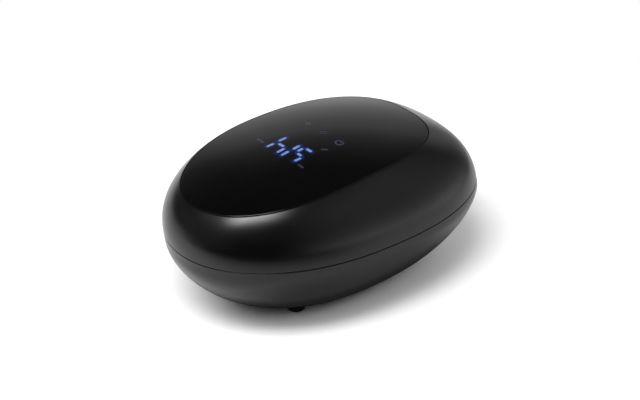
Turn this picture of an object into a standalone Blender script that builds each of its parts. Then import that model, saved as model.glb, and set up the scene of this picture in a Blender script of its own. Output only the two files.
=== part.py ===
"""Hot stone heater: an egg-shaped two-shell casing with a hinged lid, a heated stone tray and a touch panel.

Metres, +Z up. X runs along the length, with the display end at -X and the hinge end at +X.
Places are worked out in the body frame, whose origin is on the floor under the middle of the waist.
"""

import bmesh
import bpy
from math import cos, pi, radians, sin
from mathutils import Matrix, Vector

MM = 0.001

# Casing outline
BODY_LENGTH = 200 * MM
BODY_WIDTH = 135.3 * MM
UNDERSIDE_LENGTH = 92 * MM
WAIST_HEIGHT = 47.6 * MM
SEAM_LIFT = 4.4 * MM
CROWN_OVERSHOOT = 13.4 * MM
CROWN_LEAN = 10.5 * MM
KEEL_LEAN = 3.3 * MM
NOSE_SQUARENESS = 2.10
TAIL_SQUARENESS = 2.37
TAIL_WIDENING = 0.024
CROWN_FULLNESS = 2.53
CROWN_ROUNDNESS = 1.39
KEEL_FULLNESS = 1.56
KEEL_ROUNDNESS = 2.27

# Top panel
PANEL_HEIGHT = 93.4 * MM
PANEL_SLOPE = 0.0108
PANEL_RADIUS_LONG = 307 * MM
PANEL_RADIUS_CROSS = 218 * MM
PANEL_GAUGE = 2.5 * MM
PANEL_GAP = 0.4 * MM
RIM_LAND = 0.5 * MM
SEAT_WIDTH = 6 * MM
SEAT_GAUGE = 2.2 * MM
GASKET_GAUGE = 0.6 * MM

# Walls and fits
WALL = 2.6 * MM
SHOULDER = 0.8 * MM
FLOOR_GAUGE = 2.6 * MM
SEAM_GAP = 0.4 * MM
CLEAR = 0.3 * MM

# Feet and the screws behind them
FOOT_HEIGHT = 3 * MM
FOOT_RADIUS = 5.5 * MM
FOOT_PITCH_LONG = 66 * MM
FOOT_PITCH_CROSS = 43.2 * MM
FOOT_STEM_RADIUS = 3.2 * MM
COUNTERBORE_DEPTH = 4 * MM
BOSS_RADIUS = 6 * MM
BOSS_RISE = 3.4 * MM
BASE_SCREW_HEAD_RADIUS = 3 * MM
BASE_SCREW_HEAD_HEIGHT = 2 * MM
BASE_SCREW_RADIUS = 1.3 * MM
BASE_SCREW_BITE = 6 * MM

# Hinge
HINGE_RADIUS = 2.8 * MM
HINGE_PIN_RADIUS = 1 * MM
LID_KNUCKLE_WIDTH = 13 * MM
BASE_KNUCKLE_WIDTH = 6 * MM
HINGE_SIDE_GAP = 0.4 * MM
HINGE_WEB_DEPTH = 3 * MM
HINGE_WEB_RISE = 5 * MM

# Rim frame, tray and seal
RIM_DEPTH = 4.5 * MM
FRAME_GAUGE = 2.6 * MM
CHANNEL_WIDTH = 6 * MM
FLANGE_WIDTH = 9 * MM
TRAY_GAUGE = 1.2 * MM
TRAY_DRAFT = 13 * MM
SEAL_WIDTH = 3 * MM
SMALL_SCREW_RADIUS = 1 * MM
SMALL_SCREW_HEAD_RADIUS = 2 * MM
SMALL_SCREW_HEAD_HEIGHT = 1.6 * MM
TRAY_SCREW_BITE = 5 * MM
TRAY_SCREW_BOSS_RADIUS = 2.6 * MM
TRAY_SCREW_ANGLE = radians(50)

# Heater stack, from the bay up to the tray
BAY_HEIGHT = 13 * MM
CARRIER_GAUGE = 2 * MM
CARRIER_LEG_RADIUS = 4.2 * MM
PAD_GAUGE = 4 * MM
CLAMP_GAUGE = 1.2 * MM
HEATER_GAUGE = 1 * MM
HEATER_MARGIN = 6 * MM
CARRIER_MARGIN = 2 * MM
HEATER_TAB_LENGTH = 6 * MM
HEATER_TAB_WIDTH = 14 * MM
SENSOR_RADIUS = 4 * MM
SENSOR_HEIGHT = 3 * MM
FUSE_RADIUS = 1.6 * MM
FUSE_LENGTH = 12 * MM
SENSOR_X = 18 * MM
FUSE_X = -22 * MM

# Power board
POWER_BOARD_LENGTH = 64 * MM
POWER_BOARD_WIDTH = 30 * MM
POWER_BOARD_X = -6 * MM
BOARD_GAUGE = 1.6 * MM
STANDOFF_HEIGHT = 2 * MM
STANDOFF_RADIUS = 2.2 * MM
SPIGOT_RADIUS = 1 * MM
SPIGOT_RISE = 0.8 * MM
BOARD_HOLE_EDGE = 3.5 * MM
POWER_MODULE_SIZE = (18 * MM, 14 * MM, 3.5 * MM)
POWER_MODULE_X = 8 * MM
CONNECTOR_SIZE = (6 * MM, 14 * MM, 5 * MM)
CONNECTOR_EDGE = 4 * MM
CAPACITOR_RADIUS = 3.2 * MM
CAPACITOR_HEIGHT = 5 * MM
CAPACITOR_X = -16 * MM

# Power inlet
INLET_RADIUS = 4 * MM
INLET_LENGTH = 14 * MM
INLET_SOCKET_RADIUS = 3 * MM
INLET_SOCKET_DEPTH = 10 * MM
INLET_PIN_RADIUS = 1 * MM
INLET_FLANGE_RADIUS = 5.4 * MM
INLET_FLANGE_GAUGE = 2 * MM
INLET_MOUTH_RADIUS = 5 * MM
INLET_SLEEVE_WALL = 1.1 * MM

# Closing magnets and contact blocks
MAGNET_RADIUS = 2 * MM
MAGNET_HEIGHT = 2 * MM
MAGNET_ANGLE = radians(20)
CONTACT_SIZE = (4 * MM, 12 * MM, 2 * MM)
CONTACT_STEM_RADIUS = 1 * MM
LEAD_RADIUS = 0.8 * MM
LEAD_POINT_SPACING = 4 * MM
HEATER_LEAD_Y = 4 * MM
HEATER_LEAD_SHARE = 0.5
CONTACT_LEAD_DROPS = ((0.2, 0.1), (0.6, 0.4), (1, 0.5))
LID_LEAD_BENDS = ((0.04, 0.32), (0.22, 0.66), (0.59, 0.92))

# Lid liner and its insulation
LINER_GAUGE = 1.5 * MM
LINER_LIFT = 0.6 * MM
LINER_FLANGE_WIDTH = 15 * MM
LINER_FULLNESS = 2.4
LID_PAD_GAUGE = 4 * MM
LID_PAD_REACH = 0.78
LID_BAY_HEIGHT = 5.5 * MM
LINER_SCREW_ANGLE = radians(60)
LINER_SCREW_BITE = 6 * MM
LID_BOSS_RADIUS = 3 * MM
LID_BOSS_HEIGHT = 9 * MM
LID_POST_RADIUS = 2.6 * MM

# Control board, display and touch pads
CONTROL_BOARD_LENGTH = 66 * MM
CONTROL_BOARD_WIDTH = 60 * MM
CONTROL_BOARD_X = -13 * MM
DISPLAY_X = -23.4 * MM
DISPLAY_LENGTH = 19 * MM
DISPLAY_WIDTH = 50.3 * MM
DISPLAY_HEIGHT = 8 * MM
MASK_FRONT_X = -36 * MM
MASK_BACK_X = 9 * MM
MASK_WIDTH = 58 * MM
TOUCH_X = 2 * MM
TOUCH_PITCH = 14 * MM
TOUCH_RADIUS = 4 * MM
TOUCH_BORE_RADIUS = 2.5 * MM
INDICATOR_X = -9.2 * MM
INDICATOR_Y = -14.8 * MM
INDICATOR_SIZE = (2 * MM, 4 * MM, 1.5 * MM)
CHIP_SIZE = (12 * MM, 12 * MM, 1.5 * MM)
CHIP_X = 2 * MM
BUZZER_RADIUS = 6 * MM
BUZZER_HEIGHT = 4 * MM
BUZZER_X = -24 * MM
BUZZER_Y = 14 * MM

# Facets
SEGMENTS = 48
ROUND_SEGMENTS = 12
FOOT_SEGMENTS = 24
BUZZER_SEGMENTS = 20
BASE_WALL_STEPS = 8
BASE_INNER_STEPS = 5
BASE_STEP_BIAS = 1.4
LID_WALL_STEPS = 8
LID_STEP_BIAS = 0.9
PANEL_SHARES = (0.25, 0.5, 0.75, 1)
LINER_SHARES = (0.35, 0.65, 0.88)
MASK_CELLS = 6
SHARP_ANGLE = radians(35)

# Heights of the casing
SEAM_HEIGHT = WAIST_HEIGHT + SEAM_LIFT
CROWN_RISE = PANEL_HEIGHT + CROWN_OVERSHOOT - WAIST_HEIGHT

# Heights in the base, from the floor up
UNDERSIDE_Z = FOOT_HEIGHT
FLOOR_Z = UNDERSIDE_Z + FLOOR_GAUGE
BOSS_Z = FLOOR_Z + BOSS_RISE
COUNTERBORE_Z = UNDERSIDE_Z + COUNTERBORE_DEPTH
POWER_BOARD_Z = FLOOR_Z + STANDOFF_HEIGHT
POWER_BOARD_TOP = POWER_BOARD_Z + BOARD_GAUGE
CARRIER_Z = FLOOR_Z + BAY_HEIGHT
CARRIER_TOP = CARRIER_Z + CARRIER_GAUGE
PAD_Z = CARRIER_TOP + CLEAR
PAD_TOP = PAD_Z + PAD_GAUGE
CLAMP_Z = PAD_TOP + CLEAR
CLAMP_TOP = CLAMP_Z + CLAMP_GAUGE
HEATER_Z = CLAMP_TOP + CLEAR
HEATER_TOP = HEATER_Z + HEATER_GAUGE
TRAY_Z = HEATER_TOP + CLEAR
TRAY_FLOOR = TRAY_Z + TRAY_GAUGE
INLET_Z = FLOOR_Z + BAY_HEIGHT / 2

# Heights at the seam
BASE_RIM = SEAM_HEIGHT - SEAM_GAP / 2
LID_RIM = SEAM_HEIGHT + SEAM_GAP / 2
FRAME_TOP = SEAM_HEIGHT - RIM_DEPTH
FRAME_Z = FRAME_TOP - FRAME_GAUGE
SHOULDER_Z = FRAME_Z - CLEAR
FLANGE_Z = FRAME_TOP + CLEAR
FLANGE_TOP = FLANGE_Z + TRAY_GAUGE
LINER_Z = SEAM_HEIGHT + LINER_LIFT
LINER_FLANGE_TOP = LINER_Z + LINER_GAUGE

# Insets from the casing's outside at the seam, going in
FRAME_INSET = WALL + CLEAR
CHANNEL_MIDDLE = FRAME_INSET + CHANNEL_WIDTH / 2
FLANGE_INSET = FRAME_INSET + CHANNEL_WIDTH
TRAY_SCREW_INSET = FLANGE_INSET + SMALL_SCREW_HEAD_RADIUS + CLEAR
TRAY_INSET = FLANGE_INSET + FLANGE_WIDTH
SEAL_INSET = TRAY_INSET - SEAL_WIDTH

HINGE_X = BODY_LENGTH / 2
HINGE_Z = SEAM_HEIGHT
HINGE_HALF_WIDTH = LID_KNUCKLE_WIDTH / 2 + HINGE_SIDE_GAP + BASE_KNUCKLE_WIDTH

BLACK_SHELL = ("shell_black", (0.012, 0.012, 0.013), 0.42, 0.0)
BLACK_GLOSS = ("panel_black", (0.006, 0.006, 0.007), 0.06, 0.0)
RUBBER = ("rubber_black", (0.015, 0.015, 0.015), 0.85, 0.0)
SILICONE = ("silicone_grey", (0.16, 0.16, 0.17), 0.6, 0.0)
COATED = ("coated_aluminium", (0.07, 0.07, 0.075), 0.45, 0.3)
ALUMINIUM = ("aluminium", (0.75, 0.76, 0.78), 0.35, 1.0)
STEEL = ("steel", (0.6, 0.6, 0.62), 0.3, 1.0)
FELT = ("insulation_felt", (0.75, 0.73, 0.66), 0.95, 0.0)
INNER_PLASTIC = ("inner_plastic", (0.035, 0.035, 0.038), 0.55, 0.0)
BOARD_GREEN = ("board_green", (0.02, 0.16, 0.07), 0.5, 0.0)
COMPONENT = ("component_black", (0.02, 0.02, 0.022), 0.5, 0.0)
DISPLAY_GREY = ("display_grey", (0.05, 0.05, 0.055), 0.4, 0.0)
HEATER_FILM = ("heater_film", (0.42, 0.16, 0.04), 0.5, 0.0)
LEAD_RED = ("lead_red", (0.4, 0.02, 0.02), 0.5, 0.0)
LEAD_WHITE = ("lead_white", (0.7, 0.7, 0.68), 0.5, 0.0)
LED_BLUE = ("led_blue", (0.2, 0.3, 0.9), 0.3, 0.0)


# Casing shape

def plan_point(angle):
    """Point of the unit plan outline, rounder at the nose and squarer at the tail."""
    along = cos(angle)
    across = sin(angle)
    power = NOSE_SQUARENESS + (TAIL_SQUARENESS - NOSE_SQUARENESS) * (0.5 + 0.5 * along)
    x = abs(along) ** (2 / power) * (1 if along >= 0 else -1)
    y = abs(across) ** (2 / power) * (1 if across >= 0 else -1)
    return x, y * (1 + TAIL_WIDENING * x)


def keel_drop():
    """Depth below the waist at which the lower profile would close, from the underside's length."""
    share = UNDERSIDE_LENGTH / BODY_LENGTH
    fall = (1 - share ** KEEL_ROUNDNESS) ** (1 / KEEL_FULLNESS)
    return (WAIST_HEIGHT - UNDERSIDE_Z) / fall


def girth(z):
    """Share of the waist's size at height z."""
    if z >= WAIST_HEIGHT:
        rise = min((z - WAIST_HEIGHT) / CROWN_RISE, 1)
        return (1 - rise ** CROWN_FULLNESS) ** (1 / CROWN_ROUNDNESS)
    fall = min((WAIST_HEIGHT - z) / keel_drop(), 1)
    return (1 - fall ** KEEL_FULLNESS) ** (1 / KEEL_ROUNDNESS)


def lean(z):
    """Shift of the section at height z towards the nose."""
    if z >= WAIST_HEIGHT:
        return -CROWN_LEAN * (z - WAIST_HEIGHT) / CROWN_RISE
    return -KEEL_LEAN * (WAIST_HEIGHT - z) / keel_drop()


def hull_point(angle, z, inset=0.0):
    """Point on the casing's outside at height z, moved in level by the inset."""
    x, y = plan_point(angle)
    half_length = BODY_LENGTH / 2 * girth(z) - inset
    half_width = BODY_WIDTH / 2 * girth(z) - inset
    return Vector((half_length * x + lean(z), half_width * y, z))


def hull_normal(angle, z):
    step = 0.0005
    along = hull_point(angle + step, z) - hull_point(angle - step, z)
    up = hull_point(angle, z + step) - hull_point(angle, z - step)
    return along.cross(up).normalized()


def angles():
    return [2 * pi * i / SEGMENTS for i in range(SEGMENTS)]


def hull_ring(z, inset=0.0, at_z=None):
    """Ring of the casing's section at height z, laid at height at_z."""
    level = z if at_z is None else at_z
    ring = [hull_point(angle, z, inset) for angle in angles()]
    return [Vector((p.x, p.y, level)) for p in ring]


def dome(x, y):
    """Height of the top panel's outside."""
    fall = x * x / (2 * PANEL_RADIUS_LONG) + y * y / (2 * PANEL_RADIUS_CROSS)
    return PANEL_HEIGHT + PANEL_SLOPE * x - fall


def crown_edge(angle):
    """Height at which the casing's side meets the panel's dome."""
    low = WAIST_HEIGHT
    high = WAIST_HEIGHT + CROWN_RISE
    for _ in range(50):
        middle = (low + high) / 2
        p = hull_point(angle, middle)
        if dome(p.x, p.y) > middle:
            low = middle
        else:
            high = middle
    return low


def crown_ring(inset, drop):
    """Ring inside the crown's edge by the inset, below the dome by the drop."""
    edge = [hull_point(angle, crown_edge(angle)) for angle in angles()]
    ring = []
    for i, p in enumerate(edge):
        ahead = edge[(i + 1) % SEGMENTS]
        behind = edge[i - 1]
        run = Vector((ahead.x - behind.x, ahead.y - behind.y, 0)).normalized()
        q = p + Vector((-run.y, run.x, 0)) * inset
        ring.append(Vector((q.x, q.y, dome(q.x, q.y) - drop)))
    return ring


def middle_x(ring):
    xs = [p.x for p in ring]
    return (min(xs) + max(xs)) / 2


def shrink_ring(ring, share, height):
    """Ring drawn in to its middle by a share, laid on a height function of (x, y)."""
    cx = middle_x(ring)
    points = [(cx + (p.x - cx) * share, p.y * share) for p in ring]
    return [Vector((x, y, height(x, y))) for x, y in points]


# Mesh helpers

def mesh_from(name, verts, faces):
    mesh = bpy.data.meshes.new(name)
    mesh.from_pydata([tuple(v) for v in verts], [], faces)
    form = bmesh.new()
    form.from_mesh(mesh)
    bmesh.ops.recalc_face_normals(form, faces=form.faces)
    form.to_mesh(mesh)
    form.free()
    return mesh


def skin(rings, closed=False, start=None, end=None):
    """Faces over a row of rings: closed on itself, or shut by a flat cap or a point at each end."""
    count = len(rings[0])
    verts = [p for ring in rings for p in ring]
    faces = []
    last = len(rings) if closed else len(rings) - 1
    for row in range(last):
        low = row * count
        high = (row + 1) % len(rings) * count
        for i in range(count):
            j = (i + 1) % count
            faces.append((low + i, low + j, high + j, high + i))
    if not closed:
        top = (len(rings) - 1) * count
        shut_end(verts, faces, list(range(count)), start)
        shut_end(verts, faces, list(range(top, top + count)), end)
    return verts, faces


def shut_end(verts, faces, loop, point):
    if point is None:
        faces.append(tuple(loop))
        return
    verts.append(point)
    centre = len(verts) - 1
    for i, first in enumerate(loop):
        faces.append((first, loop[(i + 1) % len(loop)], centre))


def circle(radius, z, segments=ROUND_SEGMENTS):
    turns = [2 * pi * i / segments for i in range(segments)]
    return [Vector((radius * cos(turn), radius * sin(turn), z)) for turn in turns]


def turned(profile, segments=ROUND_SEGMENTS):
    """Turned solid about Z from (radius, z) steps, shut by flat caps."""
    return skin([circle(radius, z, segments) for radius, z in profile])


def turned_ring(profile, segments=ROUND_SEGMENTS):
    """Turned solid about Z with a bore, from a closed loop of (radius, z) steps."""
    return skin([circle(radius, z, segments) for radius, z in profile], closed=True)


def block(low, high):
    corners = [(x, y, z) for z in (low[2], high[2]) for x, y in
               ((low[0], low[1]), (high[0], low[1]), (high[0], high[1]), (low[0], high[1]))]
    faces = [(0, 1, 2, 3), (4, 5, 6, 7), (0, 1, 5, 4), (1, 2, 6, 5), (2, 3, 7, 6), (3, 0, 4, 7)]
    return [Vector(c) for c in corners], faces


def block_at(size, x, y, z):
    """Block standing on height z with its middle at x, y."""
    low = (x - size[0] / 2, y - size[1] / 2, z)
    return block(low, (x + size[0] / 2, y + size[1] / 2, z + size[2]))


def moved(solid, place, turn=None):
    verts, faces = solid
    matrix = Matrix.Translation(Vector(place))
    if turn is not None:
        matrix = matrix @ turn
    return [matrix @ v for v in verts], faces


def group(solids):
    """Several solids in one mesh, for a tool that adds or cuts them all."""
    verts = []
    faces = []
    for solid_verts, solid_faces in solids:
        offset = len(verts)
        verts.extend(solid_verts)
        faces.extend(tuple(i + offset for i in face) for face in solid_faces)
    return verts, faces


ALONG_X = Matrix.Rotation(pi / 2, 4, "Y")
ALONG_Y = Matrix.Rotation(-pi / 2, 4, "X")


# Objects

def material_of(look):
    name, colour, roughness, metallic = look
    found = bpy.data.materials.get(name)
    if found:
        return found
    made = bpy.data.materials.new(name)
    made.use_nodes = True
    shader = made.node_tree.nodes["Principled BSDF"]
    shader.inputs["Base Color"].default_value = (*colour, 1)
    shader.inputs["Roughness"].default_value = roughness
    shader.inputs["Metallic"].default_value = metallic
    return made


def add_object(name, data, look, parent):
    """Object in the body frame, carried by its parent."""
    item = bpy.data.objects.new(name, data)
    bpy.context.scene.collection.objects.link(item)
    item.data.materials.append(material_of(look))
    item.parent = parent
    if parent.parent is not None:
        item.matrix_parent_inverse = Matrix.Translation(-parent.location)
    return item


def add_piece(name, solid, look, parent):
    mesh = mesh_from(name, *solid)
    mesh.shade_smooth()
    mesh.set_sharp_from_angle(angle=SHARP_ANGLE)
    return add_object(name, mesh, look, parent)


def add_tool(name, solid, target):
    """Hidden solid that is added to, or cut from, a piece in the same frame."""
    tool = add_object(name, mesh_from(name, *solid), INNER_PLASTIC, target.parent)
    tool.hide_render = True
    tool.display_type = "WIRE"
    return tool


def combine(target, tool, operation):
    step = target.modifiers.new(tool.name, "BOOLEAN")
    step.operation = operation
    step.solver = "EXACT"
    step.object = tool


def add_empty(name, place, parent=None):
    empty = bpy.data.objects.new(name, None)
    bpy.context.scene.collection.objects.link(empty)
    empty.location = place
    empty.parent = parent
    return empty


def smooth_route(points, spacing):
    """Points about a spacing apart on a smooth curve through the route's own points."""
    padded = [points[0] * 2 - points[1]] + points + [points[-1] * 2 - points[-2]]
    route = []
    for i in range(1, len(padded) - 2):
        before, a, b, after = padded[i - 1:i + 3]
        steps = max(1, round((b - a).length / spacing))
        for step in range(steps):
            t = step / steps
            slope = (b - before) * t
            bow = (before * 2 - a * 5 + b * 4 - after) * t ** 2
            twist = (a * 3 - before - b * 3 + after) * t ** 3
            route.append(a + (slope + bow + twist) / 2)
    route.append(points[-1])
    return route


def add_lead(name, points, look, parent):
    """Round wire along a route."""
    curve = bpy.data.curves.new(name, "CURVE")
    curve.dimensions = "3D"
    curve.bevel_depth = LEAD_RADIUS
    curve.bevel_resolution = 2
    curve.use_fill_caps = True
    route = smooth_route([Vector(p) for p in points], LEAD_POINT_SPACING)
    spline = curve.splines.new("POLY")
    spline.points.add(len(route) - 1)
    for target, p in zip(spline.points, route):
        target.co = (*p, 1)
    return add_object(name, curve, look, parent)


# Patterns

def foot_places():
    cx = lean(UNDERSIDE_Z)
    for end, side_x in (("front", -1), ("rear", 1)):
        for side, side_y in (("left", 1), ("right", -1)):
            x = cx + side_x * FOOT_PITCH_LONG / 2
            yield f"{end}_{side}", x, side_y * FOOT_PITCH_CROSS / 2


def rim_places(angle, inset):
    """Four places round the rim, at the angle from each end."""
    turns = (("front_left", pi - angle), ("front_right", pi + angle),
             ("rear_left", angle), ("rear_right", -angle))
    for name, turn in turns:
        p = hull_point(turn, SEAM_HEIGHT, inset)
        yield name, p.x, p.y


def magnet_places():
    for side, turn in (("left", pi - MAGNET_ANGLE), ("right", pi + MAGNET_ANGLE)):
        p = hull_point(turn, SEAM_HEIGHT, CHANNEL_MIDDLE)
        yield side, p.x, p.y


def board_holes(board_x, length, width):
    for sx in (-1, 1):
        for sy in (-1, 1):
            yield board_x + sx * (length / 2 - BOARD_HOLE_EDGE), sy * (width / 2 - BOARD_HOLE_EDGE)


# Base pieces

def wall_levels(low, high, steps):
    """Heights up the base's wall, closer together near the floor."""
    return [low + (high - low) * (i / steps) ** BASE_STEP_BIAS for i in range(steps + 1)]


def inlet_face_x():
    return hull_point(0, INLET_Z - INLET_MOUTH_RADIUS).x - CLEAR


def hinge_barrel(radius, low, high):
    return moved(turned([(radius, low), (radius, high)]), (HINGE_X, 0, HINGE_Z), ALONG_Y)


def base_knuckles(radius, spread):
    inner = LID_KNUCKLE_WIDTH / 2 + HINGE_SIDE_GAP - spread
    outer = HINGE_HALF_WIDTH + spread
    return [hinge_barrel(radius, inner, outer), hinge_barrel(radius, -outer, -inner)]


def hinge_web(low_y, high_y, low_z, high_z):
    return block((HINGE_X - HINGE_WEB_DEPTH, low_y, low_z), (HINGE_X + CLEAR, high_y, high_z))


def make_base_shell(root):
    levels = wall_levels(UNDERSIDE_Z, BASE_RIM, BASE_WALL_STEPS)
    thick = WALL + SHOULDER
    rings = [hull_ring(z) for z in levels]
    rings.append(hull_ring(BASE_RIM, WALL))
    rings.append(hull_ring(SHOULDER_Z, WALL))
    rings.append(hull_ring(SHOULDER_Z, thick))
    inner_levels = wall_levels(FLOOR_Z, SHOULDER_Z, BASE_INNER_STEPS)
    rings.extend(hull_ring(z, thick) for z in reversed(inner_levels[:-1]))
    shell = add_piece("base_shell", skin(rings), BLACK_SHELL, root)

    bosses = [moved(turned([(BOSS_RADIUS, FLOOR_Z - FLOOR_GAUGE / 2), (BOSS_RADIUS, BOSS_Z)]), (x, y, 0))
              for _, x, y in foot_places()]
    post_top = POWER_BOARD_Z - CLEAR
    post = [(STANDOFF_RADIUS, FLOOR_Z - FLOOR_GAUGE / 2), (STANDOFF_RADIUS, post_top),
            (SPIGOT_RADIUS, post_top), (SPIGOT_RADIUS, POWER_BOARD_TOP + SPIGOT_RISE)]
    holes = board_holes(POWER_BOARD_X, POWER_BOARD_LENGTH, POWER_BOARD_WIDTH)
    posts = [moved(turned(post), (x, y, 0)) for x, y in holes]
    inside = add_tool("base_inside", skin([hull_ring(z, WALL / 3) for z in levels]), shell)
    sleeve_radius = INLET_MOUTH_RADIUS + INLET_SLEEVE_WALL
    sleeve_start = inlet_face_x() - INLET_LENGTH + INLET_FLANGE_GAUGE + CLEAR
    sleeve = turned([(sleeve_radius, sleeve_start), (sleeve_radius, HINGE_X)])
    sleeve = moved(sleeve, (0, 0, INLET_Z), ALONG_X)
    added = add_tool("base_added", group(bosses + posts + [sleeve]), shell)
    combine(added, inside, "INTERSECT")
    combine(shell, added, "UNION")

    knuckles = []
    for side in (-1, 1):
        near = side * (LID_KNUCKLE_WIDTH / 2 + HINGE_SIDE_GAP)
        far = side * HINGE_HALF_WIDTH
        knuckles.append(hinge_web(min(near, far), max(near, far), HINGE_Z - HINGE_WEB_RISE, BASE_RIM))
    webs = add_tool("base_hinge_webs", group(knuckles), shell)
    combine(shell, webs, "UNION")
    barrels = add_tool("base_hinge_barrels", group(base_knuckles(HINGE_RADIUS, 0)), shell)
    combine(shell, barrels, "UNION")

    bore = FOOT_STEM_RADIUS + CLEAR
    hole = BASE_SCREW_RADIUS + CLEAR
    drill = [(bore, UNDERSIDE_Z - FOOT_HEIGHT / 2), (bore, COUNTERBORE_Z), (hole, COUNTERBORE_Z),
             (hole, BOSS_Z + CLEAR)]
    cuts = [moved(turned(drill), (x, y, 0)) for _, x, y in foot_places()]
    face = inlet_face_x()
    seat = INLET_RADIUS + CLEAR
    mouth = [(seat, sleeve_start - CLEAR), (seat, face),
             (INLET_MOUTH_RADIUS, face), (INLET_MOUTH_RADIUS, HINGE_X)]
    cuts.append(moved(turned(mouth), (0, 0, INLET_Z), ALONG_X))
    half = LID_KNUCKLE_WIDTH / 2 + HINGE_SIDE_GAP / 2
    cuts.append(hinge_barrel(HINGE_RADIUS + HINGE_SIDE_GAP, -half, half))
    combine(shell, add_tool("base_cuts", group(cuts), shell), "DIFFERENCE")
    pin_bore = hinge_barrel(HINGE_PIN_RADIUS + CLEAR, -HINGE_HALF_WIDTH - CLEAR, HINGE_HALF_WIDTH + CLEAR)
    combine(shell, add_tool("base_pin_bore", pin_bore, shell), "DIFFERENCE")


def make_feet(root):
    top = UNDERSIDE_Z - CLEAR
    head = COUNTERBORE_Z - CLEAR - BASE_SCREW_HEAD_HEIGHT
    foot = [(FOOT_RADIUS, 0), (FOOT_RADIUS, top), (FOOT_STEM_RADIUS, top), (FOOT_STEM_RADIUS, head - CLEAR)]
    screw = [(BASE_SCREW_HEAD_RADIUS, head), (BASE_SCREW_HEAD_RADIUS, COUNTERBORE_Z - CLEAR),
             (BASE_SCREW_RADIUS, COUNTERBORE_Z - CLEAR),
             (BASE_SCREW_RADIUS, BOSS_Z + CLEAR + BASE_SCREW_BITE)]
    for name, x, y in foot_places():
        add_piece(f"foot_{name}", moved(turned(foot, FOOT_SEGMENTS), (x, y, 0)), RUBBER, root)
        add_piece(f"base_screw_{name}", moved(turned(screw), (x, y, 0)), STEEL, root)


def make_rim_frame(root):
    opening = TRAY_INSET - 2 * CLEAR
    section = [hull_ring(FRAME_Z, FRAME_INSET, FRAME_Z), hull_ring(FRAME_Z, FRAME_INSET, FRAME_TOP),
               hull_ring(SEAM_HEIGHT, opening, FRAME_TOP), hull_ring(SEAM_HEIGHT, opening, FRAME_Z)]
    frame = add_piece("rim_frame", skin(section, closed=True), INNER_PLASTIC, root)
    low = FRAME_TOP - TRAY_SCREW_BITE - CLEAR
    screw_places = list(rim_places(TRAY_SCREW_ANGLE, TRAY_SCREW_INSET))
    boss = turned([(TRAY_SCREW_BOSS_RADIUS, low), (TRAY_SCREW_BOSS_RADIUS, FRAME_TOP - FRAME_GAUGE / 2)])
    bosses = [moved(boss, (x, y, 0)) for _, x, y in screw_places]
    combine(frame, add_tool("frame_bosses", group(bosses), frame), "UNION")
    bore = SMALL_SCREW_RADIUS + CLEAR
    drill = turned([(bore, low - CLEAR), (bore, FRAME_TOP + CLEAR)])
    drills = [moved(drill, (x, y, 0)) for _, x, y in screw_places]
    stem_hole = CONTACT_STEM_RADIUS + CLEAR
    stem = turned([(stem_hole, FRAME_Z - CLEAR), (stem_hole, FRAME_TOP + CLEAR)])
    drills.append(moved(stem, (contact_x(), 0, 0)))
    combine(frame, add_tool("frame_drills", group(drills), frame), "DIFFERENCE")


def contact_x():
    return hull_point(pi, SEAM_HEIGHT, CHANNEL_MIDDLE).x


def tray_oval(inset, z):
    return hull_ring(SEAM_HEIGHT, inset, z)


def make_stone_tray(root):
    low_outer = TRAY_INSET + TRAY_DRAFT
    wall = TRAY_INSET + TRAY_GAUGE
    section = [tray_oval(low_outer, TRAY_Z), tray_oval(TRAY_INSET, FLANGE_Z),
               tray_oval(FLANGE_INSET, FLANGE_Z), tray_oval(FLANGE_INSET, FLANGE_TOP),
               tray_oval(wall, FLANGE_TOP), tray_oval(low_outer + TRAY_GAUGE, TRAY_FLOOR)]
    tray = add_piece("stone_tray", skin(section), COATED, root)
    hole = SMALL_SCREW_RADIUS + CLEAR
    drills = [moved(turned([(hole, FLANGE_Z - CLEAR), (hole, FLANGE_TOP + CLEAR)]), (x, y, 0))
              for _, x, y in rim_places(TRAY_SCREW_ANGLE, TRAY_SCREW_INSET)]
    combine(tray, add_tool("tray_drills", group(drills), tray), "DIFFERENCE")

    seal_low = FLANGE_TOP + CLEAR
    seal_high = LINER_Z - CLEAR
    seal = [tray_oval(SEAL_INSET, seal_low), tray_oval(SEAL_INSET, seal_high),
            tray_oval(TRAY_INSET, seal_high), tray_oval(TRAY_INSET, seal_low)]
    add_piece("tray_seal", skin(seal, closed=True), SILICONE, root)

    head = FLANGE_TOP + CLEAR
    screw = [(SMALL_SCREW_RADIUS, FRAME_TOP - TRAY_SCREW_BITE), (SMALL_SCREW_RADIUS, head),
             (SMALL_SCREW_HEAD_RADIUS, head), (SMALL_SCREW_HEAD_RADIUS, head + SMALL_SCREW_HEAD_HEIGHT)]
    for name, x, y in rim_places(TRAY_SCREW_ANGLE, TRAY_SCREW_INSET):
        add_piece(f"tray_screw_{name}", moved(turned(screw), (x, y, 0)), STEEL, root)


def stack_plate(inset, low, high):
    return skin([tray_oval(inset, low), tray_oval(inset, high)])


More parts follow.
